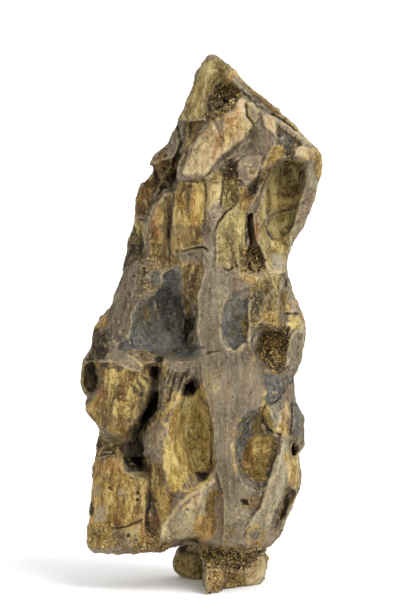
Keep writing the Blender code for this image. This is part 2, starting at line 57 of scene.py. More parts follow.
# The viewer stands in front of the stone, a long way off, and looks down a little. The stone's features are
# placed by column and row of this view, which the camera and the section on the stone both use.
VIEW_WIDTH, VIEW_HEIGHT = 408, 612
METRES_PER_PIXEL = 0.0005
AXIS_COLUMN, GROUND_ROW = 215, 586
LOOK_DOWN = math.radians(6)
VIEW_DISTANCE = 5.0
FILM_HEIGHT = 36

to_viewer = Vector((0, -math.cos(LOOK_DOWN), math.sin(LOOK_DOWN)))
view_up = Vector((0, math.sin(LOOK_DOWN), math.cos(LOOK_DOWN)))
view_middle = Vector(((VIEW_WIDTH / 2 - AXIS_COLUMN) * METRES_PER_PIXEL, 0, 0))
view_middle.z = (GROUND_ROW - VIEW_HEIGHT / 2) * METRES_PER_PIXEL / math.cos(LOOK_DOWN)

camera_data = bpy.data.cameras.new("viewer")
camera_data.sensor_width = FILM_HEIGHT
camera_data.lens = FILM_HEIGHT * VIEW_DISTANCE / (VIEW_HEIGHT * METRES_PER_PIXEL)
camera_data.clip_end = 10 * VIEW_DISTANCE
camera = bpy.data.objects.new("viewer", camera_data)
camera.location = view_middle + to_viewer * VIEW_DISTANCE
camera.rotation_euler = (-to_viewer).to_track_quat("-Z", "Y").to_euler()
bpy.context.scene.collection.objects.link(camera)
bpy.context.scene.camera = camera


def in_view(places):
    """Column, row and distance of places given in metres, as the viewer sees them."""
    relative = places - np.array(camera.location)
    distance = -relative @ np.array(to_viewer)
    reach = VIEW_DISTANCE / METRES_PER_PIXEL / distance
    column = VIEW_WIDTH / 2 + relative[:, 0] * reach
    row = VIEW_HEIGHT / 2 - relative @ np.array(view_up) * reach
    return column, row, distance


# The stone is one piece of layered rock that water and wind have worn: smooth grey matrix with fine upright
# grain stands as ridges, and softer ochre, olive and slate layers between them are scooped out and gritty.
# Its skin starts from the plain solid, is made fine, and gets its worn rims, cracks, ledges and grit here.
SAME_PLACE = 1e-6
ROUND_BELOW, SHARP_ABOVE = 26, 50  # Degrees between two facets
ROUNDINGS = 2
SKIN_VOXEL = 0.00056
FINEST_TRIANGLES = 196000


def smoothstep(low, high, value):
    part = np.clip((value - low) / (high - low), 0, 1)
    return part * part * (3 - 2 * part)


def fine_skin(node):
    """A fine, even mesh of its own over the solid: flat facets rounded, strong edges kept."""
    mesh = node.data.copy()
    work = bmesh.new()
    work.from_mesh(mesh)
    bmesh.ops.remove_doubles(work, verts=work.verts, dist=SAME_PLACE)
    crease = work.edges.layers.float.new("crease_edge")
    for edge in work.edges:
        edge[crease] = float(smoothstep(ROUND_BELOW, SHARP_ABOVE, math.degrees(edge.calc_face_angle(0))))
    work.to_mesh(mesh)
    work.free()
    skin = bpy.data.objects.new("weathered_stone", mesh)
    bpy.context.scene.collection.objects.link(skin)
    rounded = skin.modifiers.new("rounded facets", "SUBSURF")
    rounded.levels = rounded.render_levels = ROUNDINGS
    remesh = skin.modifiers.new("fine skin", "REMESH")
    remesh.mode = "VOXEL"
    remesh.voxel_size = SKIN_VOXEL
    return applied(skin)


def applied(item):
    """The same object with its modifiers worked into its mesh."""
    graph = bpy.context.evaluated_depsgraph_get()
    mesh = bpy.data.meshes.new_from_object(item.evaluated_get(graph))
    item.modifiers.clear()
    item.data = mesh
    mesh.materials.clear()
    mesh.name = item.name
    return item


class Skin:
    """The places, normals and neighbours of a mesh as arrays, in metres."""

    def __init__(self, mesh):
        self.mesh = mesh
        count = len(mesh.vertices)
        self.places = np.empty(count * 3)
        mesh.vertices.foreach_get("co", self.places)
        self.places = self.places.reshape(-1, 3)
        ends = np.empty(len(mesh.edges) * 2, int)
        mesh.edges.foreach_get("vertices", ends)
        ends = ends.reshape(-1, 2)
        self.start = np.concatenate([ends[:, 0], ends[:, 1]])
        self.end = np.concatenate([ends[:, 1], ends[:, 0]])
        self.neighbours = np.maximum(np.bincount(self.start, minlength=count), 1)
        self.read_normals()

    def read_normals(self):
        normals = np.empty(len(self.places) * 3)
        self.mesh.vertices.foreach_get("normal", normals)
        self.normals = normals.reshape(-1, 3)

    def spread(self, values, passes):
        """Each value made the mean of itself and its neighbours, several times over."""
        values = np.array(values, float)
        flat = values.reshape(len(values), -1)
        for _ in range(passes):
            for part in range(flat.shape[1]):
                around = np.bincount(self.start, flat[self.end, part], minlength=len(flat))
                flat[:, part] = 0.5 * flat[:, part] + 0.5 * around / self.neighbours
        return flat.reshape(values.shape)

    def height_above(self, passes):
        """How far the surface stands above its worn-down surroundings, in millimetres."""
        return np.einsum("ij,ij->i", self.places - self.spread(self.places, passes), self.normals) * 1000

    def move(self, offsets):
        self.places = self.places + offsets
        self.mesh.vertices.foreach_set("co", self.places.ravel())
        self.mesh.update()
        self.read_normals()


CELL_FACTORS = np.array((73856093, 19349663, 83492791), np.uint32)
SEED_FACTOR, SEED_START = 265443, 97
ROLL_FACTORS = ((15, 2246822519), (13, 3266489917))
HIGHEST_ROLL = 4294967295.0


def rolls(cell, seed):
    """Three even random numbers for each whole-numbered cell, the same each time for the same cell."""
    mixed = np.bitwise_xor.reduce(cell * CELL_FACTORS, axis=1)
    mixed = mixed ^ np.uint32(seed * SEED_FACTOR + SEED_START)
    found = []
    for _ in range(3):
        for shift, factor in ROLL_FACTORS:
            mixed = (mixed ^ (mixed >> np.uint32(shift))) * np.uint32(factor)
        found.append(mixed / HIGHEST_ROLL)
    return found


def whole(cell):
    return cell.astype(np.int64).astype(np.uint32)


OCTAVE_SHIFT = 31.7
OCTAVE_SEED = 13


def clouds(places, size, octaves=3, seed=0):
    """Cloud noise between about -1 and 1 at each place; size is in millimetres."""
    total = np.zeros(len(places))
    for octave in range(octaves):
        scaled = places * (1000 / size * 2 ** octave) + OCTAVE_SHIFT * octave
        base = np.floor(scaled)
        part = scaled - base
        ease = part * part * (3 - 2 * part)
        for corner in itertools.product((0, 1), repeat=3):
            slopes = rolls(whole(base + corner), seed + OCTAVE_SEED * octave)
            weight = np.prod(np.where(corner, ease, 1 - ease), axis=1)
            rise = sum((2 * slope - 1) * (part[:, axis] - corner[axis]) for axis, slope in enumerate(slopes))
            total += weight * rise * 2.0 / 2 ** octave
    return total


def in_fields(places, size, low, high, seed):
    """From 0 where soft clouds of this size are low to 1 where they are high."""
    return smoothstep(low, high, clouds(places, size, 2, seed=seed))


def three_clouds(places, size, octaves, seed):
    return np.stack([clouds(places, size, octaves, seed=seed + turn) for turn in range(3)], axis=1)


def cells(places, size, seed=0):
    """Distances to the nearest and the second nearest of scattered points, and a number for the nearest."""
    scaled = places * (1000 / size)
    base = np.floor(scaled)
    first = np.full(len(places), 9.0)
    second = first.copy()
    lot = np.zeros(len(places))
    for step in itertools.product((-1, 0, 1), repeat=3):
        spot = rolls(whole(base + step), seed)
        gaps = [base[:, axis] + step[axis] + spot[axis] - scaled[:, axis] for axis in range(3)]
        away = np.sqrt(sum(gap ** 2 for gap in gaps))
        nearer = away < first
        second = np.where(nearer, first, np.minimum(second, away))
        lot = np.where(nearer, spot[0], lot)
        first = np.where(nearer, away, first)
    return first, second, lot


VERY_FAR = 1e9
HARDLY = 1e-9


def line_distance(column, row, line):
    """Distance in pixels to a drawn line, and on which side: 1 on the right of its direction of travel."""
    nearest = np.full(len(column), VERY_FAR)
    side = np.ones(len(column))
    for (x0, y0), (x1, y1) in zip(line, line[1:]):
        along = ((column - x0) * (x1 - x0) + (row - y0) * (y1 - y0)) / ((x1 - x0) ** 2 + (y1 - y0) ** 2)
        along = np.clip(along, 0, 1)
        away = np.hypot(column - x0 - along * (x1 - x0), row - y0 - along * (y1 - y0))
        turn = np.sign((x1 - x0) * (row - y0) - (y1 - y0) * (column - x0))
        side = np.where(away < nearest - HARDLY, turn, side)
        nearest = np.minimum(nearest, away)
    return nearest, side


def inside_distance(column, row, outline):
    """Distance in pixels to a drawn outline, more than zero inside it."""
    inside = np.zeros(len(column), bool)
    closed = list(outline) + [outline[0]]
    for (x0, y0), (x1, y1) in zip(closed, closed[1:]):
        if y0 != y1:
            crosses = (y0 > row) != (y1 > row)
            inside ^= crosses & (column < (x1 - x0) * (row - y0) / (y1 - y0) + x0)
    return np.where(inside, 1, -1) * line_distance(column, row, closed)[0]


def close_to(column, row, points, margin):
    """The places that lie within a margin, in pixels, of the box round the drawn points."""
    low, high = np.min(points, axis=0) - margin, np.max(points, axis=0) + margin
    return np.flatnonzero((column > low[0]) & (column < high[0]) & (row > low[1]) & (row < high[1]))


SQUARE = 2  # Pixels
SQUARES_ACROSS, SQUARES_DOWN = 300, 400
JUST_BEHIND = 0.004
TURNED_AWAY = -0.1


def seen_share(skin, column, row, distance):
    """Near 1 where the viewer sees the skin, falling to 0 where it turns away or lies behind."""
    across = np.clip(column / SQUARE, 0, SQUARES_ACROSS - 1).astype(int)
    down = np.clip(row / SQUARE, 0, SQUARES_DOWN).astype(int)
    square = down * SQUARES_ACROSS + across
    nearest = np.full(square.max() + 1, VERY_FAR)
    np.minimum.at(nearest, square, distance)
    facing = skin.normals @ np.array(to_viewer) > TURNED_AWAY
    seen = (distance < nearest[square] + JUST_BEHIND) & facing
    return skin.spread(seen.astype(float), 3)


stone = fine_skin(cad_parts["dragon_stone"])
skin = Skin(stone.data)
skin.move(skin.spread(skin.places, 2) - skin.places)

# Drawn relief: kind, width in pixels, height or depth in millimetres, then column and row points.
# A step is high on the right of its direction of travel. A hollow, a bump or a ring has a closed outline.
RELIEF = (
    ("bump", 4, 3.2, (226, 86, 232, 88, 239, 92, 238, 98, 232, 106, 223, 112, 216, 112, 215, 104, 218, 93)),
    ("crack", 1.6, 1.8, (214, 96, 211, 108, 207, 120)),
    ("crack", 1.4, 1.8, (226, 84, 221, 96, 224, 104, 220, 116)),
    ("crack", 1.4, 1.6, (235, 91, 228, 99, 231, 108)),
    ("ridge", 1.6, 1.4, (213, 92, 218, 88, 227, 82)),
    ("step", 5, 1.0, (203, 120, 193, 121, 183, 121)),
    ("crack", 1.5, 2.6, (242, 91, 250, 99, 264, 111)),
    ("crack", 1.3, 2.2, (270, 113, 282, 120, 296, 130)),
    ("ridge", 2, 0.8, (249, 100, 257, 109, 273, 119, 285, 125, 303, 137, 313, 146)),
    ("step", 6, 1.1, (252, 127, 243, 139, 235, 144, 227, 151, 219, 159, 211, 168, 204, 178)),
    ("step", 5, 0.9, (178, 178, 185, 167, 190, 158, 194, 146, 201, 135, 208, 126, 215, 124, 219, 134,
        223, 128, 225, 116, 235, 111, 237, 103)),
    ("crack", 1.6, 1.6, (246, 102, 247, 115, 253, 123)),
    ("step", 5, 1.0, (263, 163, 268, 153, 274, 144, 277, 138, 272, 132, 264, 125, 263, 115, 259, 110)),
    ("step", 3, 0.7, (263, 115, 259, 110, 258, 119, 255, 130, 254, 136, 255, 142, 259, 152, 261, 162)),
    ("hollow", 3, 1.6, (276, 123, 288, 132, 299, 141, 303, 145, 296, 149, 295, 156, 292, 162, 287, 161,
        285, 153, 282, 146, 276, 145)),
    ("hollow", 3, 1.1, (253, 130, 256, 133, 244, 149, 236, 154, 227, 160, 218, 169, 208, 178, 205, 178,
        212, 168, 220, 160, 228, 152, 236, 145, 244, 140)),
    ("ridge", 2.5, 1.6, (211, 95, 222, 104, 218, 117)),
    ("ridge", 2.0, 1.3, (224, 90, 231, 102, 225, 112)),
    ("ridge", 2, 0.8, (241, 164, 245, 163, 250, 165)),
    ("ring", 1.5, 0.8, (248, 169, 256, 169, 256, 176, 249, 176)),
    ("step", 4, 1.0, (245, 184, 238, 178, 238, 166, 241, 158, 250, 155, 258, 155)),
    ("hollow", 2, 2.6, (190, 147, 193, 146, 189, 158, 185, 166, 180, 173, 174, 180, 173, 187, 167, 190,
        160, 196, 156, 204, 156, 198, 159, 192, 161, 186, 170, 185, 174, 176, 179, 166, 184, 153)),
    ("crack", 1.8, 1.6, (176, 122, 181, 142, 172, 168)),
    ("crack", 1.2, 1.1, (185, 123, 184, 138, 178, 158)),
    ("crack", 1.2, 0.9, (191, 122, 190, 138)),
    ("crack", 1.2, 0.8, (149, 163, 155, 167, 157, 173, 158, 181, 156, 189, 154, 194)),
    ("pit", 2, 1.6, (165.5, 156, 164.6, 168.6, 169, 180, 174, 166, 152, 167, 165.5, 199)),
    ("pit", 4, 2.0, (163, 188)),
    ("step", 4, 1.0, (134, 217, 143, 221, 150, 219)),
    ("crack", 1.3, 1.9, (174, 192, 171, 210, 169, 229, 169, 241, 171, 255)),
    ("step", 4, 0.6, (171, 255, 169, 241, 169, 229, 171, 210, 174, 192)),
    ("crack", 1.3, 1.6, (182, 252, 190, 249, 196, 248, 203, 247, 208, 251)),
    ("crack", 1.3, 1.7, (182, 181, 191, 181, 199, 182, 203, 178)),
    ("crack", 1.2, 1.6, (205, 179, 206, 195, 205, 204, 205, 224)),
    ("step", 4, 0.5, (205, 224, 205, 204, 206, 195, 205, 179)),
    ("crack", 1.2, 1.3, (232, 207, 225, 214, 218, 223, 217, 229)),
    ("step", 5, 0.9, (216, 268, 216, 240, 218, 224, 232, 208)),
    ("crack", 1.3, 1.5, (223, 268, 228, 271, 234, 267)),
    ("crack", 1.3, 1.9, (235, 262, 238, 268)),
    ("crack", 1.2, 1.0, (223, 178, 222, 192, 221, 206)),
    ("hollow", 3, 1.8, (262, 168, 259, 180, 256, 193, 251, 196, 248, 189, 254, 178)),
    ("bump", 8, 2.2, (272, 178, 284, 170, 298, 169, 300, 180, 298, 195, 293, 207, 280, 213, 268, 214,
        266, 196)),
    ("bump", 5, 1.2, (272, 222, 290, 214, 288, 240, 276, 250, 268, 240)),
    ("step", 2.5, 1.5, (299, 204, 301, 190, 302, 177, 301, 166, 292, 162, 284, 165, 274, 170, 268, 180,
        265, 192)),
    ("crack", 1.1, 0.7, (284, 187, 292, 196, 299, 203)),
    ("step", 3, 0.8, (296, 178, 284, 184, 272, 194)),
    ("step", 3, 0.6, (291, 222, 281, 229, 270, 234)),
    ("step", 5, 1.2, (300, 203, 292, 208, 280, 213, 269, 218)),
    ("crack", 1.1, 0.8, (268, 222, 267, 236, 271, 250)),
    ("hollow", 2, 2.4, (246, 213, 251, 213, 251, 244, 247, 246)),
    ("ridge", 1.6, 1.0, (259, 216, 259, 236, 258, 244, 264, 257, 269, 272)),
    ("bump", 4, 3.0, (243, 252, 252, 248, 259, 254, 264, 266, 264, 271, 252, 272, 243, 269)),
    ("step", 2, 1.3, (268, 272, 263, 257, 258, 245, 256, 238)),
    ("ridge", 1.4, 1.2, (254, 246, 257, 258, 262, 271)),
    ("ridge", 1.4, 0.9, (248, 248, 250, 260, 256, 272)),
    ("bump", 3, 1.6, (239, 274, 242, 279, 249, 282, 257, 283, 259, 279, 252, 275, 242, 274)),
    ("step", 4, 1.4, (283, 273, 270, 273, 254, 273)),
    ("step", 5, 0.8, (303, 165, 301, 180, 300, 204, 297, 216, 292, 234, 289, 252)),
    ("step", 7, 1.1, (195, 335, 198, 316, 197, 296, 204, 273, 203, 258)),
    ("hollow", 4, 1.6, (180, 266, 181, 282, 184, 309, 187, 317, 197, 317, 195, 327, 187, 341, 178, 352,
        162, 355, 154, 358, 132, 349, 130, 335, 132, 318, 139, 303, 155, 296, 160, 288, 162, 274,
        173, 267)),
    ("hollow", 2, 1.8, (184, 318, 197, 318, 194, 327, 186, 339, 184, 332)),
    ("ridge", 2, 1.0, (154, 300, 156, 309, 159, 318)),
    ("crack", 1.3, 1.3, (141, 260, 144, 267, 145, 275)),
    ("hollow", 2, 1.4, (113, 346, 120, 339, 133, 339, 134, 349, 122, 351)),
    ("ridge", 1.6, 1.0, (123, 336, 128, 335, 132, 349, 144, 351, 155, 355)),
    ("hollow", 2, 3.2, (154, 357, 163, 355, 162, 365, 156, 364)),
    ("hollow", 3, 2.0, (248, 286, 240, 291, 231, 298, 226, 305, 223, 315, 221, 327, 221, 339, 224, 346,
        229, 350, 236, 351, 240, 347, 244, 343, 248, 344, 249, 330, 249, 318, 249, 305, 250, 296)),
    ("ridge", 1.5, 1.0, (249, 300, 249, 318, 249, 332, 247, 344)),
    ("crack", 1.1, 0.9, (195, 348, 204, 347.5)),
    ("crack", 1.1, 0.9, (205, 354, 220, 350)),
    ("crack", 1.1, 0.8, (221, 361, 221, 367)),
    ("hollow", 3, 1.4, (262, 276, 282, 275, 278, 289, 270, 290, 264, 298)),
    ("ridge", 1.4, 0.8, (281, 283, 279, 294, 278, 310)),
    ("ridge", 1.4, 0.8, (259, 312, 265, 299, 274, 291)),
    ("crack", 1.7, 1.8, (283, 274, 287, 280, 284, 289)),
    ("crack", 1.4, 1.2, (284, 314, 292, 314, 299, 313)),
    ("bump", 2, 1.2, (302, 314, 305, 312, 308, 316, 305, 320)),
    ("crack", 1.3, 1.2, (263, 322, 257, 329, 254, 336, 252, 342)),
    ("hollow", 3, 1.3, (257, 341, 263, 334, 268, 330, 275, 327, 284, 323, 290, 329, 288, 343, 285, 354,
        286, 363, 284, 371, 275, 374, 271, 371, 267, 362, 256, 359, 254, 351)),
    ("hollow", 2, 2.2, (257, 342, 262, 334, 268, 333, 264, 345)),
    ("hollow", 2, 2.2, (281, 337, 282, 326, 290, 326, 288, 337)),
    ("step", 3, 0.9, (284, 354, 288, 342, 291, 334, 299, 328)),
    ("hollow", 2, 2.4, (94, 361, 101, 364, 102, 380, 99, 390, 93, 391)),
    ("step", 4, 1.1, (98, 361, 112, 361, 125, 366, 139, 371, 152, 378)),
    ("step", 5, 1.0, (121, 440, 104, 431, 93, 421, 85, 411, 92, 400)),
    ("pit", 2.2, 1.2, (141, 395)),
    ("hollow", 2, 3.6, (149, 375, 152, 370, 161, 367, 160, 372, 155, 376)),
    ("hollow", 3, 4.0, (168, 370, 166, 381, 164, 391, 161, 400, 155, 421, 146, 425, 137, 441, 132, 438,
        137, 430, 142, 421, 143, 411, 149, 402, 158, 391, 164, 381)),
    ("crack", 1.2, 0.9, (176, 372, 172, 388, 168, 402)),
    ("crack", 1.1, 0.8, (184, 371, 178, 390, 174, 402)),
    ("bump", 4, 1.2, (160, 420, 169, 421, 172, 427, 169, 434, 165, 448, 158, 460, 154, 461, 144, 453,
        141, 443, 145, 435, 154, 426)),
    ("hollow", 2, 4.2, (181, 397, 185, 386, 190, 381, 195, 378, 198, 382, 198, 387, 195, 391, 187, 392)),
    ("bump", 2, 3.0, (187, 391, 188, 385, 193, 384, 194, 389)),
    ("ridge", 2.4, 1.0, (179, 399, 170, 406, 161, 415, 165, 428, 172, 442)),
    ("hollow", 9, 0.5, (182, 400, 196, 393, 204, 388, 207, 405, 211, 421, 213, 443, 213, 463, 203, 480,
        190, 486, 182, 470, 176, 446, 170, 426)),
    ("step", 6, 1.5, (224, 521, 223, 494, 216, 470, 214, 455, 213, 437, 211, 418, 208, 403, 204, 390,
        202, 370)),
    ("crack", 1.8, 1.8, (95, 456, 104, 455, 115, 453)),
    ("hollow", 3, 4.0, (126, 456, 148, 456, 150, 463, 146, 469, 129, 471, 126, 464)),
    ("step", 4, 1.0, (147, 472, 136, 477, 128, 475)),
    ("crack", 1.2, 1.3, (111, 529, 120, 528, 127, 526, 133, 524, 144, 519)),
    ("crack", 2.5, 0.6, (98, 470, 97, 492, 101, 508)),
    ("crack", 2.5, 0.6, (118, 478, 124, 492, 122, 508)),
    ("pit", 2, 1.4, (137, 493, 137, 500, 110, 488, 128, 536, 97, 534)),
    ("crack", 3.5, 1.8, (150, 480, 150, 505, 146, 520, 150, 534)),
    ("hollow", 2, 2.0, (195, 472, 209, 472, 208, 480, 197, 482)),
    ("ridge", 2.6, 1.8, (212, 481, 200, 490, 188, 497, 178, 507, 171, 517, 163, 525, 161, 540)),
    ("ridge", 1.6, 0.9, (179, 490, 191, 491, 202, 485, 209, 478)),
    ("crack", 2.2, 0.6, (206, 500, 209, 515, 207, 532)),
    ("step", 3, 1.2, (222, 548, 223, 536, 224, 521)),
    ("step", 3, 1.6, (268, 548, 256, 550, 240, 551, 228, 550, 223, 547)),
    ("hollow", 2, 3.6, (180, 540, 199, 538, 200, 556, 179, 556)),
    ("bump", 2, 2.2, (187, 546, 198, 545, 199, 551, 188, 552)),
    ("hollow", 6, 1.8, (260, 407, 252, 409, 248, 411, 243, 415, 239, 421, 236, 427, 234, 434, 235, 446,
        236, 462, 243, 477, 251, 486, 258, 492, 264, 489, 270, 470, 277, 456, 281, 438, 272, 432,
        264, 424)),
    ("ridge", 1.4, 0.7, (252, 416, 250, 430, 244, 446)),
    ("crack", 1.4, 1.2, (266, 404, 262, 412, 263, 422, 268, 429, 281, 436)),
    ("bump", 4, 1.3, (265, 376, 276, 374, 281, 379, 291, 377, 287, 388, 281, 397, 270, 404, 267, 392)),
    ("bump", 3, 1.0, (268, 406, 283, 402, 290, 404, 290, 414, 286, 424, 274, 424)),
    ("crack", 1.4, 1.5, (270, 405, 281, 398, 284, 391, 290, 382)),
    ("crack", 1.5, 1.8, (292, 402, 292, 418, 290, 434)),
    ("hollow", 2, 2.6, (290, 441, 295, 441, 295, 445, 290, 445)),
    ("hollow", 2, 2.6, (290, 453, 295, 453, 295, 458, 290, 458)),
    ("step", 6, 1.5, (250, 521, 255, 514, 261, 507, 265, 493, 269, 479, 273, 467, 277, 456, 281, 446,
        282, 437)),
    ("ridge", 1.8, 1.0, (288, 440, 286, 460, 284, 480, 277, 502, 271, 520)),
    ("hollow", 2, 1.0, (286, 488, 290, 492, 287, 507, 283, 519, 271, 526, 274, 520, 277, 510, 282, 503)),
    ("hollow", 2, 2.4, (240, 499, 248, 499, 248, 506, 241, 506)),
    ("ring", 2.5, 0.7, (250, 529, 257, 526, 263, 532, 263, 541, 257, 546, 249, 543, 247, 535)),
    ("crack", 2.2, 1.8, (204, 551, 222, 553, 244, 553, 266, 550)),
    ("crack", 1.6, 1.6, (206, 556, 204, 574, 205, 592)),
    ("hollow", 1.6, 2.4, (212, 561, 219, 563, 231, 562, 242, 565, 252, 563, 250, 568, 239, 570, 226, 567,
        214, 568)),
    ("hollow", 1.4, 1.6, (226, 554, 236, 557, 240, 561, 230, 560)),
    ("ridge", 1.6, 1.0, (209, 570, 224, 571, 240, 573, 252, 570)),
    ("bump", 3, 1.3, (210, 573, 224, 575, 232, 580, 222, 587, 209, 588)),
)

# Areas with coarse crumbs and holes: strength, then outline
GRITTY = (
    (1.7, (224, 82, 234, 88, 240, 98, 228, 112, 212, 120, 209, 112, 214, 95)),
    (0.5, (272, 148, 282, 146, 285, 153, 280, 160, 268, 167, 264, 164)),
    (1.0, (240, 247, 256, 246, 266, 262, 268, 274, 252, 274, 240, 270)),
    (1.1, (258, 338, 284, 324, 290, 334, 285, 360, 284, 371, 272, 374, 266, 361, 256, 358)),
    (0.6, (250, 300, 262, 300, 280, 312, 280, 330, 258, 334, 250, 322)),
    (0.8, (288, 438, 298, 438, 298, 460, 288, 460)),
    (1.9, (200, 548, 266, 548, 254, 562, 246, 568, 206, 568)),
    (0.75, (206, 566, 246, 564, 246, 586, 206, 594)),
    (0.25, (246, 560, 266, 552, 264, 586, 246, 586)),
    (1.0, (190, 554, 206, 554, 206, 574, 194, 572)),
    (0.4, (172, 554, 190, 554, 190, 578, 174, 578)),
    (0.7, (86, 524, 112, 524, 114, 548, 86, 548)),
    (0.7, (134, 536, 170, 536, 170, 551, 134, 551)),
    (0.5, (122, 256, 170, 256, 172, 272, 160, 274, 150, 294, 140, 290)),
    (0.5, (148, 241, 160, 241, 160, 253, 149, 252)),
    (0.4, (102, 370, 122, 370, 122, 382, 102, 382)),
    (0.6, (161, 404, 180, 398, 182, 402, 166, 418)),
    (0.4, (223, 158, 239, 158, 241, 212, 225, 214)),
)

# Faces whose grain stands upright as fine ribs: strength, then outline
RIBBED = (
    (1.0, (176, 122, 203, 121, 199, 138, 186, 154, 172, 170)),
    (0.8, (204, 250, 222, 268, 232, 270, 244, 288, 226, 304, 220, 340, 230, 365, 262, 372, 262, 404,
        236, 420, 232, 440, 238, 480, 256, 500, 240, 545, 224, 545, 216, 460, 206, 395, 200, 362, 196, 340,
        200, 300)),
    (0.9, (137, 262, 145, 270, 144, 290, 133, 304, 129, 335, 118, 340, 104, 331, 112, 306, 120, 282)),
    (0.8, (169, 370, 194, 370, 182, 388, 166, 410, 163, 404)),
    (0.5, (150, 205, 170, 195, 168, 250, 150, 248)),
    (0.5, (174, 186, 204, 185, 203, 245, 172, 248)),
    (0.6, (303, 165, 320, 165, 296, 246, 286, 258, 292, 230, 301, 204)),
    (0.6, (98, 364, 140, 372, 152, 380, 146, 402, 142, 420, 130, 438, 108, 434, 86, 412)),
    (0.4, (94, 460, 124, 458, 146, 482, 148, 548, 86, 548, 90, 480)),
    (0.5, (237, 103, 250, 121, 243, 139, 211, 167, 203, 177, 180, 177, 194, 146, 208, 124)),
    (0.5, (180, 398, 206, 388, 213, 440, 210, 478, 180, 490, 164, 480, 162, 418)),
)


def pairs(points):
    return [tuple(pair) for pair in np.reshape(points, (-1, 2)).tolist()]


RIM_SHARE, BOWL_SHARE, BOWL_WIDTH = 0.45, 0.55, 1.6
PIT_RIM, PIT_FLOOR = 1.3, 0.5
LEDGE_WIDTH = 1.1
TAPER = (-1, 3)
FORM_REACH = 6


def form_lift(kind, width, height, x, y, points):
    """What one drawn form adds at each place, in millimetres towards the viewer."""
    if kind == "pit":
        away = np.min([np.hypot(x - across, y - down) for across, down in points], axis=0)
        return -height * smoothstep(width * PIT_RIM, width * PIT_FLOOR, away)
    if kind in ("hollow", "bump"):
        inside = inside_distance(x, y, points)
        share = RIM_SHARE * smoothstep(-0.3 * width, 0.7 * width, inside)
        share += BOWL_SHARE * (1 - np.exp(-np.maximum(inside, 0) / (BOWL_WIDTH * width)))
        return (height if kind == "bump" else -height) * share
    if kind == "ring":
        return height * np.exp(-(inside_distance(x, y, points) / width) ** 2)
    away, side = line_distance(x, y, points)
    ends = [np.hypot(x - across, y - down) for across, down in (points[0], points[-1])]
    taper = smoothstep(*TAPER, np.minimum(*ends))
    if kind == "crack":
        return -height * taper * np.exp(-(away / width) ** 2)
    if kind == "ridge":
        return height * taper * np.exp(-away / width)
    return height * taper * (np.tanh(side * away / LEDGE_WIDTH) * np.exp(-away / width))


def drawn_lift(column, row):
    """The drawn relief at each seen place, in millimetres towards the viewer."""
    lift = np.zeros(len(column))
    for kind, width, height, flat in RELIEF:
        points = pairs(flat)
        near = close_to(column, row, points, FORM_REACH * width)
        lift[near] += form_lift(kind, width, height, column[near], row[near], points)
    return lift


def drawn_share(column, row, areas, softness):
    """The strength of soft-edged drawn areas at each seen place."""
    share = np.zeros(len(column))
    for strength, flat in areas:
        points = pairs(flat)
        near = close_to(column, row, points, softness)
        inside = smoothstep(-softness, softness, inside_distance(column[near], row[near], points))
        share[near] = np.maximum(share[near], strength * inside)
    return share


GRIT_SOFTNESS, GRIT_FIELD = 2.0, 22
RIB_SOFTNESS, RIB_FIELD, RIBS_BEHIND = 3.0, 30, 0.7


def rough_shares(skin, column, row, seen, grit_behind):
    """The strength of grit and of upright ribs: as drawn where the viewer sees it, in fields behind."""
    gritty = drawn_share(column, row, GRITTY, GRIT_SOFTNESS) * seen
    gritty += (1 - seen) * grit_behind * in_fields(skin.places, GRIT_FIELD, 0.15, 0.5, seed=21)
    ribbed = drawn_share(column, row, RIBBED, RIB_SOFTNESS) * seen
    ribbed += (1 - seen) * RIBS_BEHIND * in_fields(skin.places, RIB_FIELD, 0.05, 0.4, seed=22)
    return gritty, ribbed


def led_astray(column, row, places, pixels, size, octaves, seed):
    """Column and row moved by a few pixels this way and that, so that what is drawn runs like rock."""
    return (column + pixels * clouds(places, size, octaves, seed=seed),
            row + pixels * clouds(places, size, octaves, seed=seed + 1))


PANEL_SIZE, PANEL_STRETCH, PANEL_INSET = 23, (1, 1, 0.45), 12
PANEL_BEND, PANEL_BEND_SIZE = 0.0045, 16


def panels(places):
    """The upright panels that the stone falls into behind: millimetres inside its panel, and its lot."""
    bent = places + PANEL_BEND * three_clouds(places, PANEL_BEND_SIZE, 3, seed=70)
    nearest, second, lot = cells(bent * PANEL_STRETCH, PANEL_SIZE, seed=73)
    return (second - nearest) * PANEL_INSET, lot


FRONT_SHARE, NORMAL_SHARE = 0.75, 0.25
SMOOTH_BED_SOFTNESS = 2.0
SMOOTH_BEDS = (
    (1, (264, 182, 272, 172, 284, 168, 298, 168, 299, 200, 290, 240, 284, 252, 264, 252, 262, 220)),
)

column, row, distance = in_view(skin.places)
seen = seen_share(skin, column, row, distance)
hidden = 1 - seen
column, row = led_astray(column, row, skin.places, 0.9, 4, 3, seed=1)
lift = drawn_lift(column, row) * seen
towards = skin.spread(skin.normals, 8) * NORMAL_SHARE + np.array(to_viewer) * FRONT_SHARE
skin.move(towards * (lift / 1000)[:, None])
smoothed = drawn_share(column, row, SMOOTH_BEDS, SMOOTH_BED_SOFTNESS) * seen
skin.move((skin.spread(skin.places, 8) - skin.places) * smoothed[:, None])

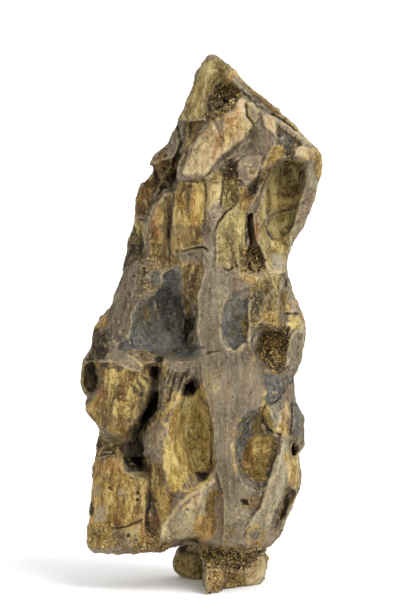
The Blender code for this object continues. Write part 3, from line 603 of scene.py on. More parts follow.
# Weathering all over: lumps, the panels behind, scallops with sharp rims, flakes, chipped layers, upright
# ribs, crumbs and small holes. Sizes, heights and depths are in millimetres.
LUMP_SIZE, LUMP_HEIGHT = 11, 0.55
BEND_SIZE, BEND = 9, 0.0022
PANEL_RIM, PANEL_DEPTH, PANEL_DEPTH_SPREAD, PANEL_STEP = 0.9, 1.0, 2.4, 0.8
SCALLOP_SIZE, SCALLOP_HEIGHT, SCALLOP_LEVEL, SCALLOP_STRETCH = 9, 1.9, 0.35, (1, 1, 0.6)
DIMPLE_SIZE, DIMPLE_HEIGHT, DIMPLE_LEVEL = 3.4, 0.55, 0.3
LARGE_FLAKES, SMALL_FLAKES = (6.5, 0.75, 0.14, 15), (2.6, 0.22, 0.2, 16)  # Size, height, gap, seed
LAYER_WAY, LAYER_THICKNESS, LAYER_STEP, LAYER_WAVE = (0.88, 0.40, 0.25), 2.6, 0.55, 1.6
RIB_SIZE, RIB_HEIGHT, RIB_STRETCH = 1.9, 0.30, (1, 1, 0.09)
CRUMB_SIZE, CRUMB_HEIGHT, CRUMB_LUMPS = 1.7, 0.85, 0.5
HOLE_SIZE, HOLE_DEPTH, NO_HOLE_BELOW = 4.5, 0.8, 0.9
FINEST_SIZE, FINEST_HEIGHT = 1.6, 0.13


def flakes(places, size, height, gap, seed):
    """Flakes that broke off at different depths, flat inside and level with the skin where they meet."""
    nearest, second, lot = cells(places, size, seed=seed)
    return height * (lot - 0.5) * smoothstep(0, gap, second - nearest)


gritty, ribbed = rough_shares(skin, column, row, seen, 0.7)
swirl = three_clouds(skin.places, BEND_SIZE, 2, seed=30)
bent = skin.places + BEND * swirl
lift = LUMP_HEIGHT * clouds(skin.places, LUMP_SIZE, 3, seed=3)

inset, lot = panels(skin.places)
panel_depth = PANEL_DEPTH + PANEL_DEPTH_SPREAD * ((lot * 7) % 1)
bowl = smoothstep(0.0, 4.5, inset)
middle = 0.7 + 0.3 * smoothstep(3, 9, inset)
lift += hidden * (PANEL_RIM - panel_depth * bowl * middle)
lift += hidden * PANEL_STEP * (((lot * 13) % 1) - 0.5) * smoothstep(0.0, 0.8, inset)

rim, _, _ = cells(bent * SCALLOP_STRETCH, SCALLOP_SIZE, seed=4)
scallop_share = (0.5 + 0.5 * hidden) * in_fields(skin.places, 17, -0.1, 0.35, seed=5)
lift += scallop_share * SCALLOP_HEIGHT * (rim ** 2 - SCALLOP_LEVEL)
rim, _, _ = cells(bent, DIMPLE_SIZE, seed=6)
dimple_share = in_fields(skin.places, 12, 0.0, 0.4, seed=7)
lift += DIMPLE_HEIGHT * (rim ** 2 - DIMPLE_LEVEL) * dimple_share * (1 - 0.6 * ribbed)
lift += flakes(bent * (1, 1, 0.8), *LARGE_FLAKES) * (1 - 0.8 * ribbed)
lift += flakes(bent, *SMALL_FLAKES) * (1 - 0.8 * ribbed)

wave = LAYER_WAVE * clouds(skin.places, 14, 3, seed=8)
layer = (skin.places @ np.array(LAYER_WAY) * 1000 + wave) / LAYER_THICKNESS
tread = layer - np.floor(layer)
chipped = in_fields(skin.places, 20, 0.05, 0.4, seed=9) * (0.35 + 0.65 * hidden) * (1 - 0.7 * ribbed)
lift += LAYER_STEP * chipped * (smoothstep(0, 0.85, tread) - smoothstep(0.85, 1.0, tread))
lift += RIB_HEIGHT * ribbed * clouds(skin.places * RIB_STRETCH, RIB_SIZE, 2, seed=10)

crumb_centre, _, lot = cells(bent, CRUMB_SIZE, seed=11)
crumb_lift = CRUMB_HEIGHT * smoothstep(0.75, 0.2, crumb_centre) * (lot - 0.35)
lift += gritty * (crumb_lift + CRUMB_LUMPS * clouds(skin.places, 2.4, 2, seed=12))
hole_centre, _, lot = cells(bent + 0.0003 * swirl[:, ::-1], HOLE_SIZE, seed=13)
lift -= HOLE_DEPTH * smoothstep(0.30, 0.10, hole_centre) * (lot > NO_HOLE_BELOW) * (1 - 0.9 * ribbed)
lift += FINEST_HEIGHT * clouds(skin.places, FINEST_SIZE, 2, seed=14)
skin.move(skin.spread(skin.normals, 2) * (lift / 1000)[:, None])
skin.move(np.maximum(-skin.places, 0) * (0, 0, 1))

# The skin is thinned, and keeps more of its triangles where the viewer sees it.
THINNED_SEEN, THINNED_MORE, THINNED_STEPS = 0.58, 0.05, 5
keeping = stone.vertex_groups.new(name="thinned")
hidden_step = np.clip((hidden * THINNED_STEPS).astype(int), 0, THINNED_STEPS - 1)
for step in range(THINNED_STEPS):
    chosen = np.flatnonzero(hidden_step == step)
    keeping.add(chosen.tolist(), THINNED_SEEN + THINNED_MORE * step, "REPLACE")
thin = stone.modifiers.new("fewer faces", "DECIMATE")
thin.vertex_group = keeping.name
thin.ratio = min(1.0, FINEST_TRIANGLES / (2 * len(stone.data.polygons)))
applied(stone)

# The thinned skin is read anew, to lay the minerals on it.
skin = Skin(stone.data)
column, row, distance = in_view(skin.places)
seen = seen_share(skin, column, row, distance)
hidden = 1 - seen
column, row = led_astray(column, row, skin.places, 1.2, 5, 4, seed=1)
loose_column, loose_row = led_astray(column, row, skin.places, 4.0, 6, 3, seed=17)

# The minerals from the first laid to the last, each as a dark, a middle and a light tone, 0 to 255, and the
# share of upright streaks in it
MINERALS = {
    "lilac": ((110, 95, 77), (136, 120, 98), (160, 145, 120), 0.5),
    "pale": ((132, 120, 95), (162, 150, 122), (190, 179, 150), 0.5),
    "shale": ((84, 73, 58), (108, 96, 78), (136, 122, 99), 0.7),
    "slate": ((70, 68, 61), (100, 98, 89), (130, 128, 117), 0.2),
    "tan": ((64, 48, 27), (112, 89, 52), (156, 131, 82), 0.45),
    "olive": ((64, 52, 26), (120, 102, 56), (172, 152, 92), 0.4),
    # Dark brown: a real brown stain, and also painted shade on recesses, under edges and in deep places
    "umber": ((38, 30, 19), (72, 60, 40), (118, 100, 66), 0.2),
    "ochre": ((92, 66, 27), (150, 120, 60), (198, 165, 94), 0.6),
    "moss": ((102, 87, 47), (156, 138, 83), (200, 184, 128), 0.4),
    "cream": ((166, 138, 94), (196, 171, 124), (222, 203, 162), 0.4),
    "yellow": ((150, 118, 54), (200, 170, 94), (232, 208, 138), 0.4),
    "rust": ((122, 78, 42), (166, 114, 64), (202, 156, 98), 0.4),
    # Near black: some dark grime, and mostly painted shade in the deep hollows, crevices and holes
    "soot": ((18, 14, 10), (34, 28, 20), (62, 53, 38), 0.0),
}

# Where they show in front: mineral, cover (9 hides what is under it, 0 half, less speckles), an outline.
# A number before the outline makes it a stroke of that half width in pixels instead.
PATCHES = (
    # The crown
    ("moss", 9, (203, 58, 215, 58, 232, 69, 227, 78, 218, 84, 216, 91, 208, 96, 207, 103, 205, 111,
        202, 119, 182, 121, 181, 110, 192, 88, 196, 78)),
    ("tan", 0, (214, 58, 224, 61, 232, 69, 227, 76, 218, 72, 211, 66)),
    ("ochre", 0, (196, 80, 206, 70, 213, 78, 205, 98, 190, 108, 186, 100)),
    ("lilac", 9, (203, 52, 215, 52, 215, 59, 204, 61)),
    ("tan", 9, (172, 121, 203, 120, 204, 125, 198, 138, 190, 147, 184, 152, 179, 166, 174, 176, 158, 186,
        150, 165, 168, 145)),
    ("lilac", 9, (172, 121, 190, 121, 186, 146, 176, 160, 164, 160)),
    ("shale", -0.3, (172, 121, 190, 121, 186, 146, 176, 160, 164, 160)),
    ("ochre", 0.3, 1.4, (189, 122, 187, 140, 180, 158)),
    ("ochre", 0, 1.2, (197, 122, 193, 138)),
    ("umber", 0.3, 1.2, (173, 126, 165, 148, 152, 162)),
    ("tan", 9, (219, 84, 226, 78, 232, 85, 241, 89, 243, 95, 235, 107, 231, 111, 225, 113, 221, 121,
        213, 122, 206, 125, 205, 116, 208, 107, 209, 98, 217, 91)),
    ("slate", 0.6, (214, 92, 226, 92, 236, 96, 232, 112, 216, 116, 210, 107)),
    ("olive", 0.5, (233, 85, 243, 90, 243, 97, 236, 107, 232, 100)),
    ("umber", -0.2, (207, 98, 240, 90, 236, 108, 208, 122)),
    ("soot", 0.4, 1.6, (212, 96, 210, 108, 206, 119)),
    ("soot", -0.5, (218, 94, 234, 92, 230, 106, 219, 108)),
    ("ochre", 9, (226, 69, 233, 72, 236, 82, 231, 85, 226, 79)),
    ("yellow", 1, 1.6, (224, 82, 229, 83)),
    ("pale", 1, 1.5, (216, 95, 221, 88)),
    ("slate", 9, 3.6, (235, 76, 243, 89, 258, 103, 265, 111, 277, 120, 292, 130, 306, 140, 313, 147)),
    ("lilac", 0, 3.6, (243, 89, 258, 103, 277, 120, 292, 130, 306, 140)),
    ("ochre", 9, 2.4, (234, 70, 241, 79, 261, 98, 283, 115, 299, 129, 314, 141, 323, 152)),
    ("umber", 0, 1.2, (246, 86, 262, 101, 284, 118)),
    ("cream", 9, (237, 103, 243, 97, 249, 101, 245, 107, 245, 116, 250, 121, 252, 128, 243, 139, 235, 144,
        227, 151, 219, 158, 211, 167, 204, 175, 203, 178, 192, 179, 178, 177, 185, 167, 190, 158, 194, 146,
        201, 135, 208, 126, 212, 122, 215, 125, 219, 131, 223, 126, 224, 115, 228, 111, 235, 111)),
    ("moss", -1.6, (196, 150, 212, 140, 216, 156, 200, 172, 186, 174)),
    ("rust", -1.2, (222, 112, 240, 106, 246, 124, 232, 142, 216, 152, 212, 140)),
    ("ochre", -0.6, (224, 116, 246, 116, 244, 138, 228, 148, 214, 150)),
    ("olive", 9, 2.6, (250, 101, 247, 107, 248, 116, 253, 122)),
    ("rust", 0.6, (225, 114, 234, 114, 234, 128, 226, 128)),
    ("rust", 1.2, 1.1, (230, 132, 232, 132.5)),
    ("rust", 0.8, 1.2, (216, 137, 222, 147)),
    ("rust", 0.2, 1.6, (222, 134, 217, 146, 213, 158)),
    ("rust", -0.2, 2.2, (236, 108, 238, 122, 232, 134)),
    ("olive", -0.2, 1.8, (209, 126, 204, 138, 197, 150, 188, 164)),
    ("rust", 0.6, 0.9, (217, 148, 214, 158)),
    ("lilac", 1, 2.2, (180, 177, 192, 178, 204, 176)),
    ("lilac", 9, (252, 127, 256, 131, 243, 149, 236, 153, 227, 159, 218, 168, 208, 177, 204, 180, 180, 181,
        180, 178, 203, 178, 211, 168, 219, 159, 227, 152, 235, 145, 243, 140)),
    # Painted shade above the lower flake
    ("umber", 0, 2.6, (240, 150, 248, 146, 256, 140)),
    # Painted shade along the band under the tongue's lower edge
    ("umber", 0.2, 1.5, (251, 131, 243, 141, 235, 147, 227, 154, 219, 161, 211, 170, 205, 178)),
    ("lilac", 9, (259, 109, 263, 115, 264, 125, 272, 132, 277, 138, 274, 144, 268, 153, 263, 163, 260, 157,
        258, 150, 254, 140, 255, 130, 258, 119)),
    ("cream", 9, (264, 115, 276, 121, 276, 132, 266, 133)),
    ("umber", 9, (276, 123, 288, 132, 299, 141, 303, 145, 296, 148, 295, 156, 292, 162, 287, 161, 285, 153,
        282, 146, 276, 145)),
    ("slate", 0, (278, 126, 296, 140, 292, 150, 280, 144)),
    ("ochre", 9, (271, 147, 282, 146, 285, 153, 280, 160, 268, 167, 264, 170, 264, 162)),
    ("cream", 1.2, (296, 147, 303, 142, 313, 147, 319, 153, 312, 160, 299, 161)),
    ("ochre", 9, (313, 150, 323, 153, 322, 180, 314, 176)),
    ("lilac", 9, (236, 156, 241, 158, 257, 153, 260, 160, 261, 165, 256, 175, 245, 184, 243, 186, 239, 182,
        238, 170)),
    ("cream", 1.5, 0.8, (241, 164, 245, 163, 250, 164.5)),
    ("ochre", 0, 1.0, (249, 170, 255, 170, 255, 175, 250, 175, 249, 170)),
    # Pale line along the ridge: partly a pale band in the stone, partly a painted highlight
    ("cream", 0, 1.0, (249, 99, 258, 109, 273, 119, 285, 125, 303, 137, 313, 146)),
    # The upper left planks
    ("tan", 9, (147, 164, 157, 174, 157, 186, 153, 195, 151, 207, 149, 216, 138, 220, 130, 212, 131, 198,
        136, 184)),
    ("rust", -0.4, (140, 180, 152, 184, 150, 200, 138, 206)),
    ("umber", 0, (132, 198, 140, 196, 142, 214, 134, 214)),
    ("umber", 9, (134, 218, 149, 222, 149, 247, 147, 256, 140, 261, 132, 267, 122, 273, 124, 256, 126, 238,
        130, 226)),
    ("olive", -0.2, (134, 220, 148, 224, 148, 240, 134, 250)),
    ("pale", 1, 1.3, (137, 217, 144, 219, 151, 219)),
    ("olive", 9, (174, 190, 172, 194, 171, 211, 169, 229, 170, 243, 172, 255, 165, 263, 149, 259, 149, 247,
        149, 229, 150, 219, 156, 206, 162, 197)),
    ("moss", 1, (160, 198, 174, 189, 172, 208, 156, 210)),
    ("umber", -0.5, (150, 222, 170, 216, 170, 254, 150, 256)),
    ("rust", 0, (150, 212, 160, 208, 161, 238, 151, 242)),
    ("yellow", -0.3, (149, 240, 160, 240, 160, 253, 149, 253)),
    ("tan", 0.5, (162, 222, 170, 220, 170, 252, 162, 256)),
    ("ochre", 9, (174, 182, 206, 181, 206, 195, 206, 219, 201, 226, 201, 234, 204, 241, 203, 246, 197, 249,
        182, 252, 172, 252, 170, 238, 171, 220)),
    ("tan", 1, 2.6, (188, 188, 189, 211)),
    ("yellow", 2, (195, 183, 205, 182, 205, 222, 196, 226)),
    ("rust", 0, 1.2, (194, 184, 193, 222)),
    ("tan", 1.4, (171, 222, 200, 227, 203, 246, 182, 252, 172, 252)),
    ("moss", -0.2, (172, 206, 188, 212, 186, 230, 173, 226)),
    ("cream", 9, (206, 177, 218, 169, 223, 177, 222, 190, 221, 202, 220, 219, 216, 224, 206, 224)),
    ("yellow", 0, (207, 180, 220, 175, 220, 200, 208, 204)),
    ("lilac", 1, (209, 207, 221, 205, 218, 224, 208, 224)),
    ("olive", 9, (223, 174, 239, 174, 243, 190, 242, 211, 226, 214, 221, 203)),
    ("umber", 1.5, (224, 158, 238, 158, 240, 180, 224, 183)),
    ("moss", -0.3, (224, 184, 238, 186, 240, 210, 224, 212)),
    ("umber", -0.6, (224, 184, 238, 186, 240, 210, 224, 212)),
    ("tan", 9, (147, 255, 174, 255, 181, 262, 173, 268, 160, 276, 149, 270)),
    ("cream", -0.6, (149, 258, 172, 258, 168, 270, 152, 272)),
    ("tan", 9, (180, 261, 205, 262, 204, 268, 200, 285, 183, 285)),
    ("olive", 9, (183, 284, 200, 284, 197, 295, 188, 318, 183, 300)),
    ("moss", 9, (217, 224, 225, 214, 232, 207, 243, 208, 247, 214, 247, 240, 240, 250, 240, 269, 224, 269,
        216, 262, 216, 240)),
    ("yellow", -0.6, (238, 230, 247, 230, 247, 249, 238, 250)),
    ("olive", -0.1, (218, 226, 238, 212, 240, 260, 220, 264)),
    ("lilac", -0.6, (219, 230, 234, 226, 232, 262, 219, 262)),
    ("ochre", 9, (239, 187, 249, 187, 256, 200, 247, 212, 241, 211)),
    ("umber", 9, (262, 167, 259, 180, 256, 193, 251, 197, 247, 189, 256, 176)),
    ("olive", 9, (262, 168, 274, 169, 268, 181, 265, 190, 261, 205, 257, 212, 246, 212, 256, 200,
        260, 186)),
    ("lilac", 1, (258, 192, 265, 188, 260, 206, 256, 212, 247, 211)),
    # The alcove and the pillar on the upper right
    ("moss", 9, (274, 170, 284, 166, 292, 162, 299, 164, 302, 168, 302, 177, 300, 190, 300, 204, 297, 216,
        293, 229, 291, 239, 288, 253, 284, 262, 283, 273, 268, 272, 259, 255, 259, 239, 260, 226, 257, 216,
        261, 207, 265, 193, 267, 181)),
    ("olive", -1.4, (274, 170, 284, 166, 292, 162, 299, 164, 302, 168, 302, 177, 300, 203, 292, 208,
        280, 213, 269, 218, 261, 210, 265, 193, 267, 181)),
    ("moss", 0.4, (270, 176, 298, 168, 299, 198, 274, 208)),
    ("ochre", -0.6, (272, 180, 296, 172, 297, 200, 276, 206)),
    # Painted shadow under the alcove's upper rim
    ("soot", 0.3, 1.3, (270, 173, 281, 166, 292, 163.5, 300, 166, 301, 178)),
    ("ochre", -0.1, (266, 190, 300, 184, 299, 203, 266, 214)),
    ("umber", -1.6, (268, 192, 300, 188, 299, 202, 268, 214)),
    ("rust", 1, 1.6, (283, 184, 286, 186)),
    ("yellow", 0, 2.0, (274, 219, 272, 250)),
    ("yellow", 0, 2.0, (286, 214, 283, 250)),
    ("ochre", 0, 2.0, (279, 218, 278, 252)),
    ("olive", -0.6, (264, 220, 292, 214, 286, 254, 266, 256)),
    ("umber", 0.4, 1.0, (300, 204, 292, 208, 281, 212.5, 270, 217)),
    ("olive", 0.5, 1.6, (291, 212, 289, 236, 286, 252)),
    ("pale", 9, (270, 254, 284, 254, 283, 272, 273, 271)),
    ("cream", 1.4, 1.2, (253, 273, 270, 273, 283, 272.5)),
    ("lilac", 9, (303, 163, 313, 158, 322, 162, 321, 180, 317, 196, 311, 216, 304, 234, 297, 247, 290, 258,
        284, 262, 288, 253, 291, 239, 293, 229, 297, 216, 300, 204, 300, 190, 302, 177)),
    ("pale", 1, (303, 163, 313, 158, 321, 162, 318, 184, 304, 190)),
    ("pale", 0.6, 1.4, (303, 190, 302, 204, 298, 218, 294, 234, 290, 252)),
    ("ochre", 9, (314, 150, 323, 153, 322, 178, 315, 177)),
    ("soot", 9, (246, 213, 251, 213, 252, 246, 246, 247)),
    ("cream", 1, 1.2, (259, 217, 259, 236, 258, 244, 264, 257, 268, 271)),
    ("rust", 9, (253, 219, 258, 221, 258, 246, 253, 240)),
    ("yellow", 0.6, 1.1, (252, 246, 256, 258, 261, 271)),
    ("ochre", 9, (239, 247, 252, 244, 260, 247, 268, 272, 252, 274, 240, 272)),
    ("umber", 0.4, (239, 247, 252, 245, 261, 252, 262, 264, 240, 268)),
    ("yellow", 1, (251, 266, 264, 265, 266, 271, 252, 273)),
    ("ochre", 9, (239, 273, 241, 279, 249, 283, 258, 284, 260, 280, 257, 276, 252, 274)),
    ("cream", 1, 1.2, (240, 274, 251, 275, 258, 278)),
    # The middle
    ("shale", 9, (137, 260, 144, 266, 145, 275, 144, 291, 133, 305, 130, 317, 130, 335, 118, 341, 111, 353,
        104, 345, 100, 326, 108, 310, 114, 300, 120, 280, 126, 268)),
    ("lilac", -0.2, (126, 268, 140, 266, 140, 292, 120, 320, 112, 316)),
    ("slate", 9, (151, 270, 161, 270, 161, 283, 151, 284)),
    ("cream", 0.5, 1.2, (144, 286, 150, 290, 155, 291)),
    ("cream", 0.5, 1.2, (136, 295, 140, 296)),
    ("ochre", 0.5, (94, 313, 106, 314, 106, 326, 94, 326)),
    ("slate", 9, (180, 264, 181, 282, 184, 309, 187, 317, 197, 316, 196, 326, 187, 341, 178, 352, 162, 356,
        155, 359, 132, 350, 129, 335, 131, 317, 137, 302, 154, 295, 161, 285, 161, 273, 173, 266)),
    # Painted shade on the right inner wall of the slate hollow, which faces away from the light
    ("umber", 1.6, (183, 317, 198, 316, 195, 328, 187, 341, 183, 336)),
    # Painted shadow along the slate hollow's right rim, where the column overhangs it
    ("soot", 0.8, 1.8, (197, 300, 197, 318, 194, 328, 186, 341, 178, 351)),
    ("olive", 0, (184, 284, 198, 284, 194, 312, 184, 308)),
    ("umber", -0.4, (164, 300, 182, 298, 183, 330, 168, 334)),
    ("shale", -0.2, (134, 306, 158, 296, 160, 322, 140, 332)),
    ("tan", 0.5, 2.0, (146, 309, 147, 318)),
    ("pale", 0.8, 1.3, (154, 300, 156, 309, 159, 318)),
    ("slate", 9, (112, 346, 120, 338, 133, 337, 134, 349, 122, 352)),
    ("tan", 9, (130, 351, 144, 350, 155, 354, 162, 355, 154, 363, 143, 367, 130, 357)),
    ("pale", -0.4, (130, 351, 144, 350, 155, 354, 154, 363, 143, 367, 130, 357)),
    ("cream", 2, 1.0, (128, 355, 136, 359, 142, 366)),
    ("soot", 9, (155, 358, 163, 355, 162, 364, 157, 363)),
    ("umber", 9, (90, 332, 96, 327, 104, 331, 108, 344, 110, 354, 101, 361, 92, 357, 88, 346)),
    ("soot", -0.2, (90, 334, 104, 333, 108, 344, 104, 356, 92, 352)),
    ("slate", 9, (188, 342, 204, 346, 202, 357, 182, 359, 176, 353)),
    ("pale", 0.6, 1.1, (204, 272, 198, 295, 199, 316, 196, 335)),
    ("slate", 9, (248, 286, 240, 291, 231, 298, 226, 305, 223, 315, 221, 327, 221, 339, 224, 346, 229, 350,
        236, 351, 240, 347, 244, 343, 248, 344, 249, 330, 249, 305, 250, 296)),
    ("lilac", 1, (243, 288, 250, 286, 250, 297, 240, 302, 234, 302)),
    ("olive", 1, (243, 314, 249, 312, 249, 342, 242, 340)),
    ("lilac", 0, (222, 336, 232, 338, 232, 350, 224, 347)),
    ("umber", 0, (230, 308, 240, 306, 238, 332, 230, 336)),
    ("slate", -0.3, (223, 350, 244, 350, 244, 366, 223, 366)),
    ("olive", 9, (250, 290, 262, 276, 282, 274, 278, 289, 276, 300, 278, 312, 262, 323, 249, 324)),
    ("umber", 0, (262, 277, 280, 275, 276, 288, 263, 294)),
    ("slate", -0.2, (252, 292, 264, 290, 262, 316, 250, 318)),
    ("umber", -0.2, (254, 290, 276, 288, 276, 308, 256, 316)),
    ("lilac", 1.4, 1.2, (259, 312, 265, 299, 270, 293, 274, 291)),
    ("pale", 1, 1.1, (281, 283, 279, 294, 278, 310)),
    ("tan", 9, (280, 290, 289, 290, 290, 313, 279, 313)),
    ("lilac", 9, (289, 292, 294, 298, 298, 312, 290, 313)),
    ("rust", 0.5, 1.3, (296, 301, 300, 306, 302, 313)),
    ("umber", 2, 1.0, (285, 314, 293, 314, 302, 313)),
    ("rust", 1, 2.4, (304, 316, 306, 316)),
    ("yellow", 1, (289, 315, 303, 315, 303, 328, 290, 329)),
    ("ochre", 9, (260, 312, 280, 311, 280, 331, 262, 330)),
    ("cream", 2, 0.8, (248, 324, 257, 323)),
    ("slate", 1.4, 1.1, (262, 322, 257, 329, 254, 336, 252, 341)),
    ("pale", 1, 1.0, (265, 323, 260, 330, 257, 337, 255, 343)),
    ("umber", 9, (254, 346, 257, 339, 263, 333, 268, 329, 275, 326, 284, 322, 290, 328, 291, 334, 288, 343,
        285, 354, 287, 363, 285, 371, 275, 375, 271, 372, 268, 363, 265, 361, 256, 360, 253, 353)),
    ("ochre", 0.8, (268, 337, 284, 338, 284, 362, 270, 362)),
    ("soot", 1.6, (257, 343, 262, 334, 268, 333, 265, 344)),
    ("soot", 1.6, (281, 336, 282, 325, 290, 327, 288, 336)),
    ("rust", 0.5, (270, 365, 277, 365, 276, 375, 270, 374)),
    ("yellow", 0, (255, 355, 266, 355, 267, 361, 255, 361)),
    ("umber", 0, (247, 346, 253, 346, 253, 359, 247, 359)),
    ("pale", 9, (291, 334, 299, 328, 304, 322, 305, 336, 301, 349, 298, 363, 295, 374, 288, 374, 286, 363,
        284, 354, 288, 343)),
    ("shale", 0.3, (290, 336, 304, 334, 300, 366, 288, 372)),
    ("lilac", 1, 1.2, (266, 364, 269, 363, 266, 375)),
    ("moss", -0.3, (204, 371, 218, 371, 218, 392, 206, 392)),
    # The lower left
    ("umber", 9, (91, 345, 88, 353, 83, 359, 77, 369, 76, 378, 79, 388, 87, 397, 97, 391, 101, 382,
        100, 370, 95, 361)),
    # Painted shade in the round lobe's hollow
    ("soot", 1.6, (94, 360, 101, 362, 101, 384, 97, 391, 92, 384)),
    ("olive", -0.5, (79, 366, 90, 360, 90, 388, 82, 388)),
    ("cream", 2, 0.9, (87, 385.5, 87, 386.5)),
    ("umber", 9, (84, 398, 92, 399, 90, 412, 84, 411)),
    ("ochre", 9, (98, 361, 112, 361, 125, 367, 139, 371, 153, 378, 146, 400, 142, 420, 137, 431, 131, 439,
        121, 440, 111, 437, 104, 431, 93, 421, 84, 411, 92, 400, 99, 392, 101, 382, 101, 371)),
    ("tan", 0.2, (100, 380, 132, 378, 140, 404, 120, 430, 96, 412)),
    ("umber", -1.4, (100, 380, 132, 378, 140, 404, 120, 430, 96, 412)),
    ("tan", 0.4, (132, 368, 152, 378, 146, 400, 140, 420, 128, 436, 130, 404)),
    ("umber", 1, (98, 362, 112, 361, 126, 366, 118, 372, 102, 372)),
    ("yellow", -0.2, (103, 371, 121, 372, 121, 382, 104, 382)),
    ("rust", 0, (97, 386, 104, 384, 105, 400, 97, 402)),
    ("yellow", -0.3, (114, 400, 130, 399, 130, 417, 114, 417)),
    ("olive", 0.6, (133, 380, 152, 380, 146, 400, 134, 402)),
    # Painted shade down the right side of the diamond
    ("umber", 1.2, (136, 374, 152, 380, 148, 398, 143, 412, 134, 432, 128, 426, 134, 402)),
    ("umber", 0, (104, 426, 120, 436, 124, 446, 96, 446, 98, 430)),
    ("umber", 2, 1.4, (140, 394, 142, 396)),
    ("yellow", 1.2, (145, 369, 153, 370, 153, 377, 146, 377)),
    ("olive", 9, (155, 363, 167, 363, 167, 381, 156, 381)),
    ("soot", 9, (149, 376, 152, 370, 161, 367, 161, 372, 156, 377)),
    ("soot", 9, (158, 356, 164, 355, 163, 361)),
    ("soot", 9, (168, 368, 166, 381, 164, 391, 161, 400, 155, 421, 146, 426, 137, 442, 131, 438, 137, 430,
        142, 421, 143, 411, 149, 402, 158, 391, 164, 381)),
    ("yellow", 1, 1.4, (141, 435, 146, 430, 154, 424, 158, 415)),
    ("cream", 1.5, 1.0, (163.5, 400, 164.5, 400.5)),
    ("cream", 1.5, 1.0, (160.5, 411, 161.5, 411)),
    ("lilac", 9, (169, 369, 182, 367, 195, 369, 187, 379, 183, 387, 180, 399, 166, 412, 161, 407, 165, 395,
        167, 383)),
    ("shale", 1.6, (168, 371, 192, 370, 182, 392, 170, 406, 164, 400)),
    ("umber", 0.8, (168, 371, 192, 370, 182, 392, 170, 406, 164, 400)),
    ("umber", 0.3, 1.1, (176, 372, 172, 388, 168, 402)),
    ("umber", 0.3, 1.0, (185, 374, 179, 388, 176, 400)),
    ("tan", 1, (164, 394, 181, 394, 181, 404, 164, 408)),
    ("rust", 0, (168, 402, 181, 401, 180, 412, 166, 414)),
    ("lilac", 9, (160, 419, 170, 420, 174, 427, 170, 434, 166, 448, 165, 453, 158, 462, 153, 464, 143, 454,
        139, 443, 143, 435, 154, 425)),
    ("cream", -0.6, (148, 430, 166, 426, 162, 452, 146, 446)),
    ("yellow", 9, (181, 397, 187, 392, 196, 389, 204, 383, 207, 404, 212, 421, 214, 443, 215, 465, 209, 479,
        202, 486, 191, 492, 178, 491, 172, 470, 172, 440, 170, 420)),
    ("ochre", -1.6, (186, 404, 198, 390, 208, 402, 214, 440, 214, 470, 196, 482, 188, 470, 184, 440)),
    ("yellow", 2, (161, 414, 166, 418, 173, 436, 181, 454, 183, 472, 180, 491, 172, 490, 165, 470, 164, 448,
        168, 434)),
    ("yellow", 1.2, 3.4, (180, 399, 171, 406, 163, 415)),
    ("ochre", 9, (162, 492, 174, 492, 171, 515, 161, 524)),
    ("tan", -1.2, (186, 452, 212, 446, 212, 474, 188, 478)),
    ("umber", 0, (188, 429, 197, 429, 198, 450, 188, 449)),
    ("olive", -0.2, (203, 398, 208, 404, 214, 440, 213, 464, 207, 462, 204, 430)),
    ("rust", 0, 1.3, (170, 420, 173, 439)),
    ("soot", 9, (181, 397, 185, 386, 190, 381, 195, 378, 198, 381, 198, 387, 195, 391, 187, 392)),
    ("lilac", 9, (187, 391, 187, 385, 192, 383, 195, 388)),
    ("olive", 9, (95, 434, 121, 440, 124, 455, 94, 457)),
    ("umber", 1, (92, 430, 106, 433, 106, 449, 92, 449)),
    ("cream", 1.5, 1.8, (108, 441, 111, 444)),
    ("ochre", 9, (95, 457, 102, 455, 119, 454, 125, 472, 146, 479, 148, 495, 147, 518, 151, 551, 139, 554,
        103, 555, 82, 550, 84, 543, 86, 525, 89, 515, 91, 502, 90, 490, 90, 479, 92, 473, 93, 458)),
    ("tan", -0.9, (96, 470, 146, 484, 146, 550, 86, 548)),
    ("tan", 0.4, (132, 484, 148, 484, 147, 522, 134, 526)),
    ("yellow", -1.0, (108, 496, 132, 500, 132, 524, 108, 522)),
    ("soot", 9, (124, 455, 148, 455, 152, 464, 147, 470, 128, 472, 124, 464)),
    ("yellow", 0.5, 2.2, (121, 456, 122, 470)),
    ("yellow", 1.2, 1.1, (146, 457, 151, 464)),
    ("moss", 9, (131, 473, 147, 472, 147, 480, 132, 480)),
    ("soot", 2, (86, 501, 92, 502, 92, 514, 86, 514)),
    ("rust", -0.1, (95, 457, 120, 456, 120, 468, 94, 469)),
    ("lilac", 1.5, 2.2, (100, 460, 103, 461)),
    ("lilac", 0.5, (93, 483, 99, 483, 99, 496, 93, 496)),
    ("lilac", 0, (120, 486, 128, 488, 128, 500, 121, 499)),
    ("umber", 2, 1.3, (136.5, 493, 137.5, 493)),
    ("umber", 2, 1.3, (136.5, 500, 137.5, 500)),
    ("pale", 0.4, (94, 507, 105, 507, 105, 523, 93, 523)),
    ("rust", -1.0, (105, 510, 121, 510, 121, 523, 105, 523)),
    ("pale", 0.2, (111, 530, 136, 528, 136, 547, 112, 547)),
    ("umber", -0.6, (86, 524, 112, 524, 112, 546, 86, 546)),
    ("lilac", 1.5, 2.4, (84, 548.5, 104, 551, 146, 550)),
    ("tan", 9, (147, 463, 163, 463, 165, 480, 162, 495, 148, 495)),
    ("ochre", 0.8, (148, 486, 166, 484, 164, 516, 148, 514)),
    ("umber", -0.7, (148, 486, 166, 484, 164, 516, 148, 514)),
    ("umber", 1, (145, 494, 156, 494, 158, 516, 162, 532, 139, 532, 141, 518)),
    ("rust", -0.5, (140, 514, 160, 514, 162, 532, 140, 532)),
    ("ochre", 0.5, (146, 534, 170, 534, 170, 551, 146, 551)),
    ("umber", 9, (195, 472, 210, 471, 209, 481, 197, 483)),
    ("lilac", 0.5, (185, 474, 200, 474, 200, 488, 185, 489)),
